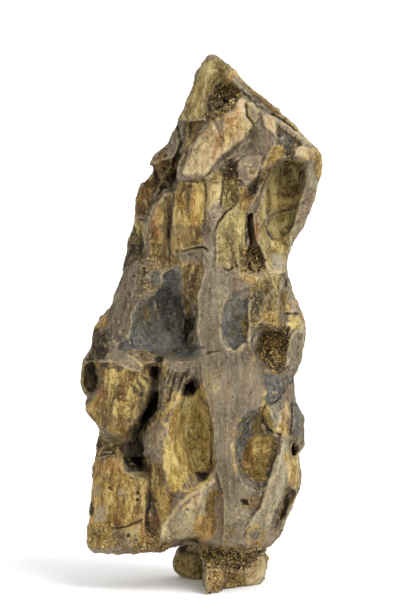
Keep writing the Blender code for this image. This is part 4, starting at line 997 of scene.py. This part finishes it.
    ("yellow", 1, 1.4, (179, 490, 191, 491, 202, 485, 209, 478)),
    ("pale", 9, (170, 516, 184, 510, 200, 500, 212, 484, 214, 500, 206, 520, 197, 540, 166, 541, 165, 524)),
    ("moss", -0.1, (168, 520, 196, 506, 210, 492, 206, 520, 197, 540, 166, 541)),
    ("cream", 9, 2.3, (212, 481, 200, 490, 188, 497, 178, 507, 171, 517, 164, 526, 162, 540)),
    ("cream", 1.5, (189, 500, 200, 493, 202, 502, 191, 510, 181, 513)),
    ("shale", -0.2, (168, 520, 188, 512, 204, 502, 208, 512, 196, 520, 184, 530, 168, 536)),
    ("slate", 0, (175, 513, 188, 512, 188, 519, 175, 520)),
    ("ochre", 1.6, (193, 517, 210, 515, 211, 542, 192, 545)),
    ("rust", 0, (196, 519, 208, 517, 211, 532, 208, 543, 196, 544)),
    ("cream", -0.8, (194, 518, 210, 516, 210, 542, 194, 544)),
    ("rust", 1, 1.6, (202, 539, 208, 538)),
    ("lilac", 1, 2.2, (166, 541, 186, 541)),
    ("soot", 9, (179, 541, 200, 538, 202, 556, 178, 556)),
    ("tan", 9, (185, 538, 200, 537, 200, 544, 186, 546)),
    ("ochre", 9, (186, 546, 199, 545, 200, 551, 187, 552)),
    # The lower right
    ("pale", -0.3, (226, 505, 248, 508, 250, 545, 226, 545)),
    ("shale", -0.5, (220, 404, 236, 400, 234, 470, 220, 474)),
    ("pale", -0.6, (204, 232, 222, 266, 230, 276, 226, 300, 202, 330)),
    ("ochre", 1.5, (207, 492, 214, 488, 222, 493, 224, 510, 224, 534, 216, 540, 207, 534, 209, 512)),
    ("lilac", 0.6, (214, 500, 226, 494, 227, 546, 219, 546)),
    ("slate", 9, (260, 406, 252, 408, 248, 410, 242, 414, 238, 420, 235, 426, 232, 432, 234, 446, 234, 463,
        238, 469, 243, 479, 250, 487, 257, 493, 264, 494, 268, 480, 277, 456, 282, 438, 272, 431,
        262, 425)),
    ("olive", 1, (251, 413, 261, 412, 262, 436, 252, 438)),
    ("ochre", 9, (249, 437, 262, 434, 274, 437, 277, 446, 272, 462, 264, 478, 254, 482, 243, 472,
        242, 456)),
    ("tan", -0.5, (254, 438, 276, 438, 270, 464, 256, 462)),
    ("olive", 0, (243, 452, 262, 462, 262, 478, 250, 480)),
    ("yellow", -0.5, (250, 438, 270, 438, 270, 460, 252, 462)),
    ("rust", -0.3, (243, 453, 256, 452, 256, 464, 244, 465)),
    ("rust", 0, (232, 424, 238, 424, 238, 436, 232, 436)),
    # Painted shade on the right side of the right hollow
    ("umber", 1, (272, 437, 282, 437, 278, 456, 270, 466)),
    ("slate", 9, (234, 440, 240, 440, 241, 468, 234, 466)),
    ("slate", 9, (238, 469, 245, 474, 252, 481, 258, 487, 264, 486, 264, 495, 257, 494, 250, 488,
        243, 480)),
    ("lilac", 0, 2.0, (241, 473, 248, 482, 256, 490, 263, 492)),
    ("ochre", 1, (256, 475, 267, 474, 266, 485, 257, 485)),
    ("cream", 2, 1.0, (263, 489, 264, 489.5)),
    ("yellow", 1, (232, 466, 240, 466, 240, 473, 234, 472)),
    ("yellow", 0.2, 1.0, (233, 442, 234, 463, 238, 469)),
    ("pale", 1.2, 1.1, (260, 406, 248, 410, 238, 420, 233, 430, 233, 442)),
    ("yellow", 1, 1.2, (238, 419, 240, 421)),
    ("slate", 9, (264, 374, 276, 373, 281, 377, 291, 375, 293, 380, 287, 388, 283, 392, 281, 398, 270, 405,
        266, 403, 265, 392)),
    ("yellow", 2, 1.0, (265, 393.5, 265.5, 394.5)),
    ("cream", 2, 1.0, (274.5, 393, 275.5, 393)),
    ("yellow", 1.6, (265, 393, 262, 407, 260, 413, 263, 421, 267, 427, 273, 431, 281, 434, 288, 432,
        288, 425, 274, 425, 269, 414, 267, 404)),
    ("pale", 9, (269, 404, 284, 403, 285, 422, 274, 425, 269, 414)),
    ("slate", -0.3, (270, 405, 283, 404, 282, 420, 272, 420)),
    ("cream", 9, (284, 401, 290, 403, 290, 414, 286, 423, 280, 423, 281, 413, 283, 407)),
    ("cream", 1.4, 1.0, (262, 425, 266, 432, 272, 435, 281, 436, 287, 434)),
    ("shale", 9, (292, 402, 298, 403, 303, 411, 306, 420, 303, 426, 305, 432, 306, 439, 302, 450, 297, 457,
        291, 436)),
    ("slate", 1, (292, 402, 299, 404, 304, 414, 304, 434, 291, 434)),
    ("soot", 9, (290, 441, 295, 441, 295, 445, 290, 445)),
    ("soot", 9, (290, 453, 295, 453, 295, 458, 290, 458)),
    ("yellow", 0.6, (289, 445, 296, 445, 296, 452, 289, 452)),
    ("pale", 9, (282, 437, 281, 446, 277, 456, 273, 467, 269, 479, 265, 493, 261, 507, 255, 514, 250, 521,
        250, 534, 268, 530, 270, 523, 273, 514, 277, 504, 283, 493, 286, 479, 288, 467, 288, 453, 291, 442,
        290, 433)),
    ("cream", -1.2, (266, 490, 280, 480, 272, 516, 258, 524)),
    ("cream", 2, 0.9, (268, 515, 273, 523)),
    ("rust", -0.8, (248, 495, 263, 496, 260, 508, 250, 506)),
    ("tan", 0, (246, 494, 264, 495, 258, 512, 246, 508)),
    ("soot", 9, (240, 499, 248, 499, 248, 504, 240, 503)),
    ("olive", 9, (240, 503, 248, 504, 248, 507, 241, 507)),
    ("cream", 2, 1.0, (237.5, 517, 238.5, 517)),
    ("moss", 0.4, (224, 525, 236, 525, 236, 543, 224, 543)),
    ("lilac", 1, (226, 534, 247, 534, 247, 549, 227, 549)),
    ("olive", 1, 1.8, (228, 549, 245, 548)),
    ("cream", 1.4, 1.0, (245, 548.5, 266, 548.5)),
    ("ochre", 0.6, 1.8, (250, 529, 257, 526, 263, 532, 263, 541, 257, 546, 249, 543, 247, 535, 250, 529)),
    ("rust", 0.3, 1.5, (254, 543, 259, 541)),
    ("cream", 9, (285, 454, 299, 454, 301, 488, 289, 489)),
    ("yellow", 0.3, (286, 456, 298, 456, 298, 484, 289, 487)),
    ("pale", 1, 1.4, (300, 456, 302, 474, 301, 490)),
    ("lilac", 9, (289, 489, 301, 488, 297, 504, 288, 507)),
    ("umber", 9, (286, 487, 290, 491, 287, 507, 283, 520, 270, 528, 267, 527, 273, 521, 276, 510, 281, 503,
        283, 495)),
    ("lilac", 9, (268, 525, 283, 524, 284, 536, 273, 544, 266, 544)),
    ("umber", 0, (270, 526, 282, 525, 280, 534, 270, 536)),
    # The foot
    ("moss", 9, (172, 553, 206, 553, 206, 592, 196, 580, 172, 576)),
    # Painted light: the yellow here and the cream below lighten the foot's left lobe, so that it looks lit
    # under the overhang
    ("yellow", -0.3, (172, 554, 205, 554, 204, 580, 174, 576)),
    ("umber", 0, 1.4, (172, 562, 172, 574, 184, 580, 202, 580)),
    ("cream", 0.2, (192, 555, 205, 555, 204, 570, 194, 572)),
    # Painted light on the foot's left lobe
    ("cream", -1.4, (174, 556, 196, 556, 196, 574, 176, 572)),
    ("ochre", 9, (200, 547, 266, 547, 266, 561, 206, 566)),
    ("umber", -0.2, (202, 548, 264, 548, 262, 556, 206, 560)),
    ("yellow", -0.2, (204, 551, 256, 552, 252, 562, 206, 564)),
    ("soot", 1.2, (212, 561, 219, 563, 231, 562, 242, 565, 252, 563, 250, 568, 239, 570, 226, 567,
        214, 568)),
    ("soot", 0.6, (226, 554, 236, 557, 240, 561, 230, 560)),
    ("ochre", 9, (207, 569, 226, 568, 246, 570, 247, 584, 208, 594)),
    ("tan", -0.6, (214, 570, 240, 572, 240, 580, 214, 582)),
    ("rust", -0.4, (210, 572, 236, 574, 230, 586, 210, 588)),
    ("cream", 9, (246, 566, 252, 560, 267, 552, 266, 574, 258, 586, 246, 585)),
    ("rust", -1.6, (248, 564, 262, 560, 262, 580, 248, 584)),
    ("cream", 1.6, 1.3, (208, 563, 208.5, 592)),
    ("umber", 1.0, 1.2, (204.5, 560, 205, 594)),
    ("soot", 1, 1.2, (222, 589, 252, 586)),
)

# Edges that are rubbed pale and carry a painted highlight: the points of each line. Dirt and painted shade
# lie along the deeper cracks of the drawn relief.
WORN_AND_LIT_EDGES = (
    (245, 107, 245, 116, 250, 121, 252, 128), (184, 120, 193, 120.3, 203, 119.5),
    (263, 115, 264, 125, 272, 132, 277, 138), (260, 157, 261, 165, 256, 175),
    (154, 195, 158, 204, 171, 192), (204, 182, 205, 204, 204, 222), (217, 240, 217, 262),
    (266, 181, 261, 205, 257, 215), (303, 168, 301, 190, 300, 206, 296, 219, 292, 238, 289, 253),
    (269, 219, 281, 214.5, 293, 210, 300, 205.5), (205, 273, 199, 296, 200, 316, 197, 335),
    (249, 300, 249.5, 322, 249, 342), (221, 328, 222, 341, 227, 350, 236, 352, 243, 345),
    (203, 371, 205, 390, 211, 411, 214, 436, 216, 458), (224, 494, 225, 520),
    (100, 361, 113, 361, 126, 366, 140, 371), (96, 458, 104, 457, 114, 455),
    (282, 438, 277, 457, 269, 480, 262, 507, 251, 522), (291, 335, 286, 352, 288, 364),
    (113, 352, 119, 342, 131, 336), (130, 334, 131, 318, 138, 303), (161, 287, 162, 274, 173, 267),
)

REACH, MARGIN = 9.0, 5
FULL_COVER = 9
SHADED_DIRTY_CRACK = 0.85
CRACK_WIDEST, CRACK_SHARE, WORN_WIDTH = 0.8, 0.45, 0.7


def patch_depth(at_column, at_row, points, stroke):
    """Distance in pixels inside an outline, or inside a stroke of the given half width."""
    if stroke:
        return stroke[0] - line_distance(at_column, at_row, points)[0]
    return inside_distance(at_column, at_row, points)


def draw_line(field, flat, half_width):
    """Raises a field along a drawn line, to its half width in pixels on the line."""
    points = pairs(flat)
    near = close_to(column, row, points, REACH)
    field[near] = np.maximum(field[near], half_width - line_distance(column[near], row[near], points)[0])


def keep_on_stone(name, values):
    attribute = stone.data.attributes.new(name, "FLOAT", "POINT")
    attribute.data.foreach_set("value", values)


# Each mineral's field is the distance in pixels inside its patches. A patch that hides what is under it cuts
# the earlier fields back, and every patch cuts back the later ones, which would else lie over it.
names = list(MINERALS)
fields = {name: np.full(len(column), -REACH) for name in names}
for name, cover, *stroke, flat in PATCHES:
    points = pairs(flat)
    near = close_to(column, row, points, REACH + MARGIN)
    hides = cover >= FULL_COVER
    across, down = (column, row) if hides or stroke else (loose_column, loose_row)
    inside = np.clip(patch_depth(across[near], down[near], points, stroke), -REACH, REACH)
    partly = inside if hides else np.minimum(inside, cover)
    left_over = np.where(partly > -REACH, -partly, REACH)
    order = names.index(name)
    later = [fields[other][near] for other in names[order + 1:]]
    above = np.max(later or [np.full(len(near), -REACH)], axis=0)
    for place, other in enumerate(names):
        if place > order or (place < order and hides):
            fields[other][near] = np.minimum(fields[other][near], left_over)
    fields[name][near] = np.maximum(fields[name][near], np.where(above > 0, inside, partly))

# Behind and at the sides, each panel has its own mineral, by these shares, with grey stone on the ridges
# between the panels. Dark minerals lie over them, and the darkest gather in deep places as painted shade:
# strength, size and upright stretch of their clouds, seed, level, and how much more of them there is in deep
# places.
SHARES = (
    ("lilac", 0.16), ("shale", 0.12), ("ochre", 0.15), ("slate", 0.12), ("olive", 0.12), ("tan", 0.12),
    ("moss", 0.08), ("pale", 0.06), ("yellow", 0.04), ("cream", 0.03),
)
OVER_PANELS = (
    ("umber", 5, 9, 1, 56, -9.0, 5.0),
    ("rust", 9, 10, 0.4, 57, -8.5, 0.0),
    ("soot", 4, 7, 1, 58, -20.0, 8.0),
)
FINE_PASSES, BROAD_PASSES, DEEPEST = 4, 50, 2.5
RIM_SLOPE, RIM_WIDTH, RIM_WAVE, RIM_WAVE_SIZE = 2.0, 1.6, 3.0, 8
PATCH_STRENGTH, PATCH_SIZE, PATCH_LEVEL, PATCH_DEEPER, PATCH_CAP = 9, 13, 7.0, 1.5, 2.0
fine_height = skin.height_above(FINE_PASSES)
swell = skin.height_above(BROAD_PASSES)
deep = np.clip(-swell, -DEEPEST, DEEPEST)
inset, lot = panels(skin.places)
rims = RIM_SLOPE * inset - RIM_WIDTH + RIM_WAVE * clouds(skin.places, RIM_WAVE_SIZE, 3, seed=40)
behind = {}
start = 0.0
for name, share in SHARES:
    within = (lot >= start) & (lot < start + share)
    patches = PATCH_STRENGTH * clouds(skin.places * (1, 1, 0.6), PATCH_SIZE, 3, seed=41 + len(behind))
    patches = patches - PATCH_LEVEL + PATCH_DEEPER * deep
    behind[name] = np.maximum(np.where(within, rims, -REACH), np.minimum(patches, PATCH_CAP))
    start += share
for name, strength, size, stretch, seed, level, deeper in OVER_PANELS:
    spread_out = strength * clouds(skin.places * (1, 1, stretch), size, 3, seed=seed)
    behind[name] = spread_out + level + deeper * deep

# The deeper drawn cracks get dark lines of dirt and painted shade; the listed edges get pale lines of wear
# and painted highlight.
fields["crack"] = np.full(len(column), -REACH)
fields["worn"] = np.full(len(column), -REACH)
for kind, width, height, flat in RELIEF:
    if kind == "crack" and height > SHADED_DIRTY_CRACK:
        draw_line(fields["crack"], flat, min(CRACK_WIDEST, CRACK_SHARE * width))
for flat in WORN_AND_LIT_EDGES:
    draw_line(fields["worn"], flat, WORN_WIDTH)
for name, field in fields.items():
    other = np.clip(behind[name], -REACH, REACH) if name in behind else np.full(len(field), -REACH)
    keep_on_stone(name, seen * field + hidden * other)
gritty, ribbed = rough_shares(skin, column, row, seen, 0.5)
keep_on_stone("height", fine_height * (1 - 0.5 * hidden))
keep_on_stone("swell", swell)
keep_on_stone("ribbed", ribbed)
keep_on_stone("gritty", gritty)


def linked(tree, kind, settings=(), **sockets):
    """A new shader node with its sockets set, or linked where the value is another node's socket."""
    made = tree.nodes.new(kind)
    for name, value in dict(settings).items():
        setattr(made, name, value)
    for name, value in sockets.items():
        socket = made.inputs[int(name[1:])] if name[0] == "_" else made.inputs[name.replace("_", " ")]
        if isinstance(value, bpy.types.NodeSocket):
            tree.links.new(value, socket)
        else:
            socket.default_value = value
    return made


def maths(tree, operation, first, second=0.0, third=0.0):
    return linked(tree, "ShaderNodeMath", {"operation": operation}, _0=first, _1=second, _2=third).outputs[0]


def shifted(tree, value, noise, strength):
    """A value moved up or down by noise that lies about a half."""
    return maths(tree, "MULTIPLY_ADD", maths(tree, "SUBTRACT", noise, 0.5), strength, value)


def ramp(tree, value, low, high, start=0.0, end=1.0):
    """A value eased from start to end as it goes from low to high."""
    made = linked(tree, "ShaderNodeMapRange", {"interpolation_type": "SMOOTHSTEP"}, Value=value,
                  From_Min=low, From_Max=high, To_Min=start, To_Max=end)
    return made.outputs["Result"]


def mixed(tree, factor, first, second):
    made = linked(tree, "ShaderNodeMix", {"data_type": "RGBA"}, Factor=factor, _6=first, _7=second)
    return made.outputs[2]


def noise_at(tree, vector, scale, detail, roughness):
    made = linked(tree, "ShaderNodeTexNoise", Vector=vector, Scale=scale, Detail=detail, Roughness=roughness)
    return made.outputs["Fac"]


def field_of(tree, name):
    return linked(tree, "ShaderNodeAttribute", {"attribute_name": name}).outputs["Fac"]


BRIGHTNESS = 0.83
EDGE_RAGGEDNESS, EDGE_SOFTNESS = 9.0, 1.3


def daylight(tone):
    """A tone from 0 to 255 as the share of light in red, green and blue that the surface sends back."""
    part = np.array(tone) / 255
    linear = np.where(part <= 0.04045, part / 12.92, ((part + 0.055) / 1.055) ** 2.4)
    return (*(linear * BRIGHTNESS).tolist(), 1)


def mineral_cover():
    """One mineral laid over what is under it: three tones in patches and streaks, and a ragged edge."""
    group = bpy.data.node_groups.new("mineral cover", "ShaderNodeTree")
    for name in ("Under", "Dark", "Middle", "Light"):
        group.interface.new_socket(name, in_out="INPUT", socket_type="NodeSocketColor")
    for name in ("Field", "Streaked", "Mottle", "Patch", "Streak", "Grain", "Edge"):
        group.interface.new_socket(name, in_out="INPUT", socket_type="NodeSocketFloat")
    group.interface.new_socket("Color", in_out="OUTPUT", socket_type="NodeSocketColor")
    given = group.nodes.new("NodeGroupInput").outputs
    result = group.nodes.new("NodeGroupOutput").inputs["Color"]
    base = linked(group, "ShaderNodeMix", Factor=given["Streaked"], _2=given["Mottle"], _3=given["Streak"])
    tone = shifted(group, base.outputs[0], given["Patch"], 0.9)
    tone = shifted(group, tone, given["Grain"], 0.8)
    colour = mixed(group, ramp(group, tone, 0.36, 0.50), given["Dark"], given["Middle"])
    colour = mixed(group, ramp(group, tone, 0.50, 0.65), colour, given["Light"])
    ragged = shifted(group, given["Field"], given["Edge"], EDGE_RAGGEDNESS)
    cover = ramp(group, ragged, -EDGE_SOFTNESS, EDGE_SOFTNESS)
    group.links.new(mixed(group, cover, given["Under"], colour), result)
    return group


def new_material(title, roughness, specular):
    """A new material, its nodes and its shader."""
    made = bpy.data.materials.new(title)
    made.use_nodes = True
    shader = made.node_tree.nodes["Principled BSDF"]
    shader.inputs["Roughness"].default_value = roughness
    shader.inputs["Specular IOR Level"].default_value = specular
    return made, made.node_tree, shader


SWIRL = (0.005, 0.005, 0.005)
rock, tree, shader = new_material("weathered rock", 0.82, 0.22)
place = linked(tree, "ShaderNodeTexCoord").outputs["Object"]
swirl = linked(tree, "ShaderNodeTexNoise", Vector=place, Scale=120.0, Detail=3.0)
warped = linked(tree, "ShaderNodeVectorMath", {"operation": "MULTIPLY_ADD"}, _0=swirl.outputs["Color"],
                _1=SWIRL, _2=place).outputs[0]


def turned_by(rotation, scale=(1.0, 1.0, 1.0)):
    return linked(tree, "ShaderNodeMapping", Vector=warped, Rotation=rotation, Scale=scale).outputs[0]


upright = turned_by((0.0, 0.0, 0.6), (1.0, 1.0, 0.09))
turned = turned_by((0.5, 0.8, 0.3))
sloping = turned_by((0.3, 0.25, 0.4), (1.7, 1.7, 0.6))
drawn_out = turned_by((0.1, 0.1, 0.9), (1.0, 1.0, 0.22))

# Noise all over: the way it lies, how many blotches there are to the metre, its detail and its roughness
mottle = noise_at(tree, turned, 210.0, 8.0, 0.72)
patch = noise_at(tree, sloping, 62.0, 5.0, 0.6)
streak = noise_at(tree, upright, 800.0, 5.0, 0.7)
grain = noise_at(tree, place, 1700.0, 3.0, 0.7)
edge = noise_at(tree, turned, 430.0, 5.0, 0.75)
shared = {"Mottle": mottle, "Patch": patch, "Streak": streak, "Grain": grain, "Edge": edge}

# The grey matrix lies under everything, and the minerals lie over it in their order.
MATRIX = ((108, 94, 75), (132, 117, 94), (156, 141, 115), 0.6)
cover = mineral_cover()
under = (0.2, 0.2, 0.2, 1)
for name, (dark, middle, light, streaked) in {"matrix": MATRIX, **MINERALS}.items():
    field = REACH if name == "matrix" else field_of(tree, name)
    tones = {"Dark": daylight(dark), "Middle": daylight(middle), "Light": daylight(light)}
    layer = linked(tree, "ShaderNodeGroup", {"node_tree": cover}, Under=under, Field=field,
                   Streaked=streaked, **tones, **shared)
    under = layer.outputs["Color"]

# Dirt and painted shade darken the hollows, and what stands out is rubbed pale with a painted highlight:
# field, its value where this starts and where it is full, full share, tone.
SHADE_DIRT_WEAR_AND_HIGHLIGHT = (
    ("height", -0.03, -0.26, 0.5, (44, 36, 24)),
    ("swell", -1.4, -4.0, 0.15, (30, 26, 18)),
    ("height", 0.06, 0.28, 0.42, (212, 190, 146)),
)
for name, first, full, share, tone in SHADE_DIRT_WEAR_AND_HIGHLIGHT:
    under = mixed(tree, ramp(tree, field_of(tree, name), first, full, 0.0, share), under, daylight(tone))

# Dirt and painted shade also fill the cracks, and the drawn edges are rubbed pale with a painted highlight:
# field, unevenness, then as above.
DRAWN_LINES = (
    ("crack", 2.2, -0.7, 0.4, 0.9, (26, 21, 14)),
    ("worn", 5.0, -0.6, 0.6, 0.55, (208, 190, 150)),
)
for name, uneven, first, full, share, tone in DRAWN_LINES:
    frayed = shifted(tree, field_of(tree, name), edge, uneven)
    under = mixed(tree, ramp(tree, frayed, first, full, 0.0, share), under, daylight(tone))

# The warm minerals have pale and dark upright flecks.
FLECK_SHARE = 0.5
FLECKS = ((0.56, 0.63, (228, 200, 128)), (0.45, 0.38, (104, 68, 32)))
warm = field_of(tree, "tan")
for name in ("olive", "ochre", "moss", "yellow", "cream"):
    warm = maths(tree, "MAXIMUM", warm, field_of(tree, name))
warm = ramp(tree, warm, 0.0, 2.0)
fleck = shifted(tree, noise_at(tree, drawn_out, 380.0, 4.0, 0.65), patch, 0.35)
for first, full, tone in FLECKS:
    flecked = maths(tree, "MULTIPLY", ramp(tree, fleck, first, full, 0.0, FLECK_SHARE), warm)
    under = mixed(tree, flecked, under, daylight(tone))

# Gritty places are dark between pale crumbs, and fine specks lie all over, dark ones and fewer pale ones:
# how many to the metre, which of their random numbers decides, the least one shown, share, tone.
CRUMB_COVER = 0.30
SPECKS = (
    (330.0, 0, 0.72, 0.6, (40, 32, 20)),
    (410.0, 1, 0.90, 0.4, (218, 196, 140)),
)
crumb_spots = linked(tree, "ShaderNodeTexVoronoi", Vector=turned, Scale=560.0)
crumb = ramp(tree, crumb_spots.outputs["Distance"], 0.55, 0.15)
loose = mixed(tree, crumb, daylight((52, 42, 26)), daylight((196, 166, 100)))
under = mixed(tree, maths(tree, "MULTIPLY", field_of(tree, "gritty"), CRUMB_COVER), under, loose)
for scale, draw, least, share, tone in SPECKS:
    spots = linked(tree, "ShaderNodeTexVoronoi", Vector=place, Scale=scale)
    draws = linked(tree, "ShaderNodeSeparateColor", Color=spots.outputs["Color"]).outputs
    chosen = maths(tree, "GREATER_THAN", draws[draw], least)
    speck = maths(tree, "MULTIPLY", ramp(tree, spots.outputs["Distance"], 0.24, 0.12), chosen)
    under = mixed(tree, maths(tree, "MULTIPLY", speck, share), under, daylight(tone))
tree.links.new(under, shader.inputs["Base Color"])

# What is too fine for the skin: its own roughness, the hair-thin ribs, the grain and the crumbs.
RIB_STRENGTH, MOTTLE_STRENGTH, GRAIN_STRENGTH, CRUMB_STRENGTH = 0.9, 1.0, 0.45, 0.6
ROUGH_DEPTH = 0.0016
ribs = maths(tree, "MULTIPLY", streak, maths(tree, "MULTIPLY", field_of(tree, "ribbed"), RIB_STRENGTH))
relief = maths(tree, "MULTIPLY_ADD", mottle, MOTTLE_STRENGTH, ribs)
relief = maths(tree, "MULTIPLY_ADD", grain, GRAIN_STRENGTH, relief)
crumb_relief = maths(tree, "MULTIPLY", crumb, field_of(tree, "gritty"))
relief = maths(tree, "MULTIPLY_ADD", crumb_relief, CRUMB_STRENGTH, relief)
bump = linked(tree, "ShaderNodeBump", Height=relief, Distance=ROUGH_DEPTH, Strength=1.0)
tree.links.new(bump.outputs["Normal"], shader.inputs["Normal"])
stone.data.materials.append(rock)
stone.data.shade_smooth()

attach(stone, "root")
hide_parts("dragon_stone")

# Crumbs of lime and grit, broken off the stone and cemented back on in its pits and over the foot. They are
# angular grains, up to 1.7 mm across, dark brown, ochre and yellow, and all of them are one joined mesh.
CRUMBS = 3400
SMALLEST_RADIUS, RADIUS_SPREAD, FEW_LARGE = 0.00022, 0.00062, 2.2
FLATTEST, KNOBBLY = 0.55, (0.75, 1.2)
PROUD = 0.25
LEAST_GRITTY = 0.3
DARKEST_CRUMB = (50, 40, 25)
PALER_CRUMBS = ((0.15, 0.35, (112, 90, 50)), (0.4, 0.6, (168, 136, 76)), (0.7, 0.95, (218, 192, 128)))

grains = np.random.default_rng(20)
nooks = 0.25 + smoothstep(0.06, -0.20, fine_height) + smoothstep(0.0, -2.0, swell)
crowded = 0.3 + in_fields(skin.places, 6, -0.3, 0.3, seed=60)
chance = np.clip(gritty - LEAST_GRITTY, 0, 1.2) ** 1.5 * nooks * crowded
chosen = grains.choice(len(chance), CRUMBS, replace=False, p=chance / chance.sum())
ball = bmesh.new()
bmesh.ops.create_icosphere(ball, subdivisions=1, radius=1.0)
corners = np.array([vertex.co[:] for vertex in ball.verts])
facets = np.array([[vertex.index for vertex in face.verts] for face in ball.faces])
ball.free()
turns = np.linalg.qr(grains.normal(size=(CRUMBS, 3, 3)))[0]
flattened = grains.uniform(FLATTEST, 1.0, (CRUMBS, 1, 3))
knobbly = grains.uniform(*KNOBBLY, (CRUMBS, len(corners), 1))
radius = SMALLEST_RADIUS + RADIUS_SPREAD * grains.random((CRUMBS, 1, 1)) ** FEW_LARGE
shapes = np.einsum("nij,nkj->nki", turns, corners * flattened * knobbly) * radius
centres = skin.places[chosen] + skin.normals[chosen] * radius[:, :, 0] * PROUD
shapes += centres[:, None]
shapes[:, :, 2] = np.maximum(shapes[:, :, 2], 0)
offsets = np.arange(CRUMBS)[:, None, None] * len(corners)
crumb_mesh = bpy.data.meshes.new("crumbs")
crumb_mesh.from_pydata(shapes.reshape(-1, 3).tolist(), [], (facets + offsets).reshape(-1, 3).tolist())
crumb_lot = crumb_mesh.attributes.new("lot", "FLOAT", "POINT")
crumb_lot.data.foreach_set("value", np.repeat(grains.random(CRUMBS), len(corners)))
crumbs = bpy.data.objects.new("crumbs", crumb_mesh)
bpy.context.scene.collection.objects.link(crumbs)

grit, tree, shader = new_material("cemented grit", 0.8, 0.25)
place = linked(tree, "ShaderNodeTexCoord").outputs["Object"]
mottle = noise_at(tree, place, 900.0, 4.0, 0.7)
picked = shifted(tree, field_of(tree, "lot"), mottle, 0.9)
tone = daylight(DARKEST_CRUMB)
for first, full, next_tone in PALER_CRUMBS:
    tone = mixed(tree, ramp(tree, picked, first, full), tone, daylight(next_tone))
tree.links.new(tone, shader.inputs["Base Color"])
bump = linked(tree, "ShaderNodeBump", Height=mottle, Distance=0.0004, Strength=0.8)
tree.links.new(bump.outputs["Normal"], shader.inputs["Normal"])
crumb_mesh.materials.append(grit)

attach(crumbs, "root")
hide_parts("dragon_stone")

# The floor is a wide, plain, pale sheet of matt paper that the stone stands on. It isn't part of the stone,
# and only catches its soft shadow.
FLOOR_REACH = 7.0
PAPER_TONE = (0.93, 0.93, 0.93, 1)
floor_mesh = bpy.data.meshes.new("floor")
floor_corners = [(x * FLOOR_REACH, y * FLOOR_REACH, 0) for x, y in ((-1, -1), (1, -1), (1, 1), (-1, 1))]
floor_mesh.from_pydata(floor_corners, [], [(0, 1, 2, 3)])
floor = bpy.data.objects.new("floor", floor_mesh)
bpy.context.scene.collection.objects.link(floor)
paper, tree, shader = new_material("pale floor", 1.0, 0.0)
shader.inputs["Base Color"].default_value = PAPER_TONE
floor_mesh.materials.append(paper)
floor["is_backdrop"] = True

# Soft studio light: a bright white surround, and a large soft lamp high on the right in front of the stone.
SURROUND_STRENGTH = 1.05
LAMP_STRENGTH, LAMP_WIDTH = 2.4, math.radians(40)
LAMP_PLACE, LAMP_AIM = (0.9, -1.1, 1.35), (0, 0, 0.13)
world = bpy.data.worlds.new("studio")
world.use_nodes = True
surround = world.node_tree.nodes["Background"]
surround.inputs["Color"].default_value = (1, 1, 1, 1)
surround.inputs["Strength"].default_value = SURROUND_STRENGTH
bpy.context.scene.world = world
lamp_data = bpy.data.lights.new("soft lamp", "SUN")
lamp_data.angle = LAMP_WIDTH
lamp_data.energy = LAMP_STRENGTH
lamp = bpy.data.objects.new("soft lamp", lamp_data)
lamp.location = LAMP_PLACE
lamp.rotation_euler = (Vector(LAMP_AIM) - lamp.location).to_track_quat("-Z", "Y").to_euler()
bpy.context.scene.collection.objects.link(lamp)
bpy.context.scene.view_settings.view_transform = "Standard"

size = {"cad": cad_box, "visual": [list(corner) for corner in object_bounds()]}
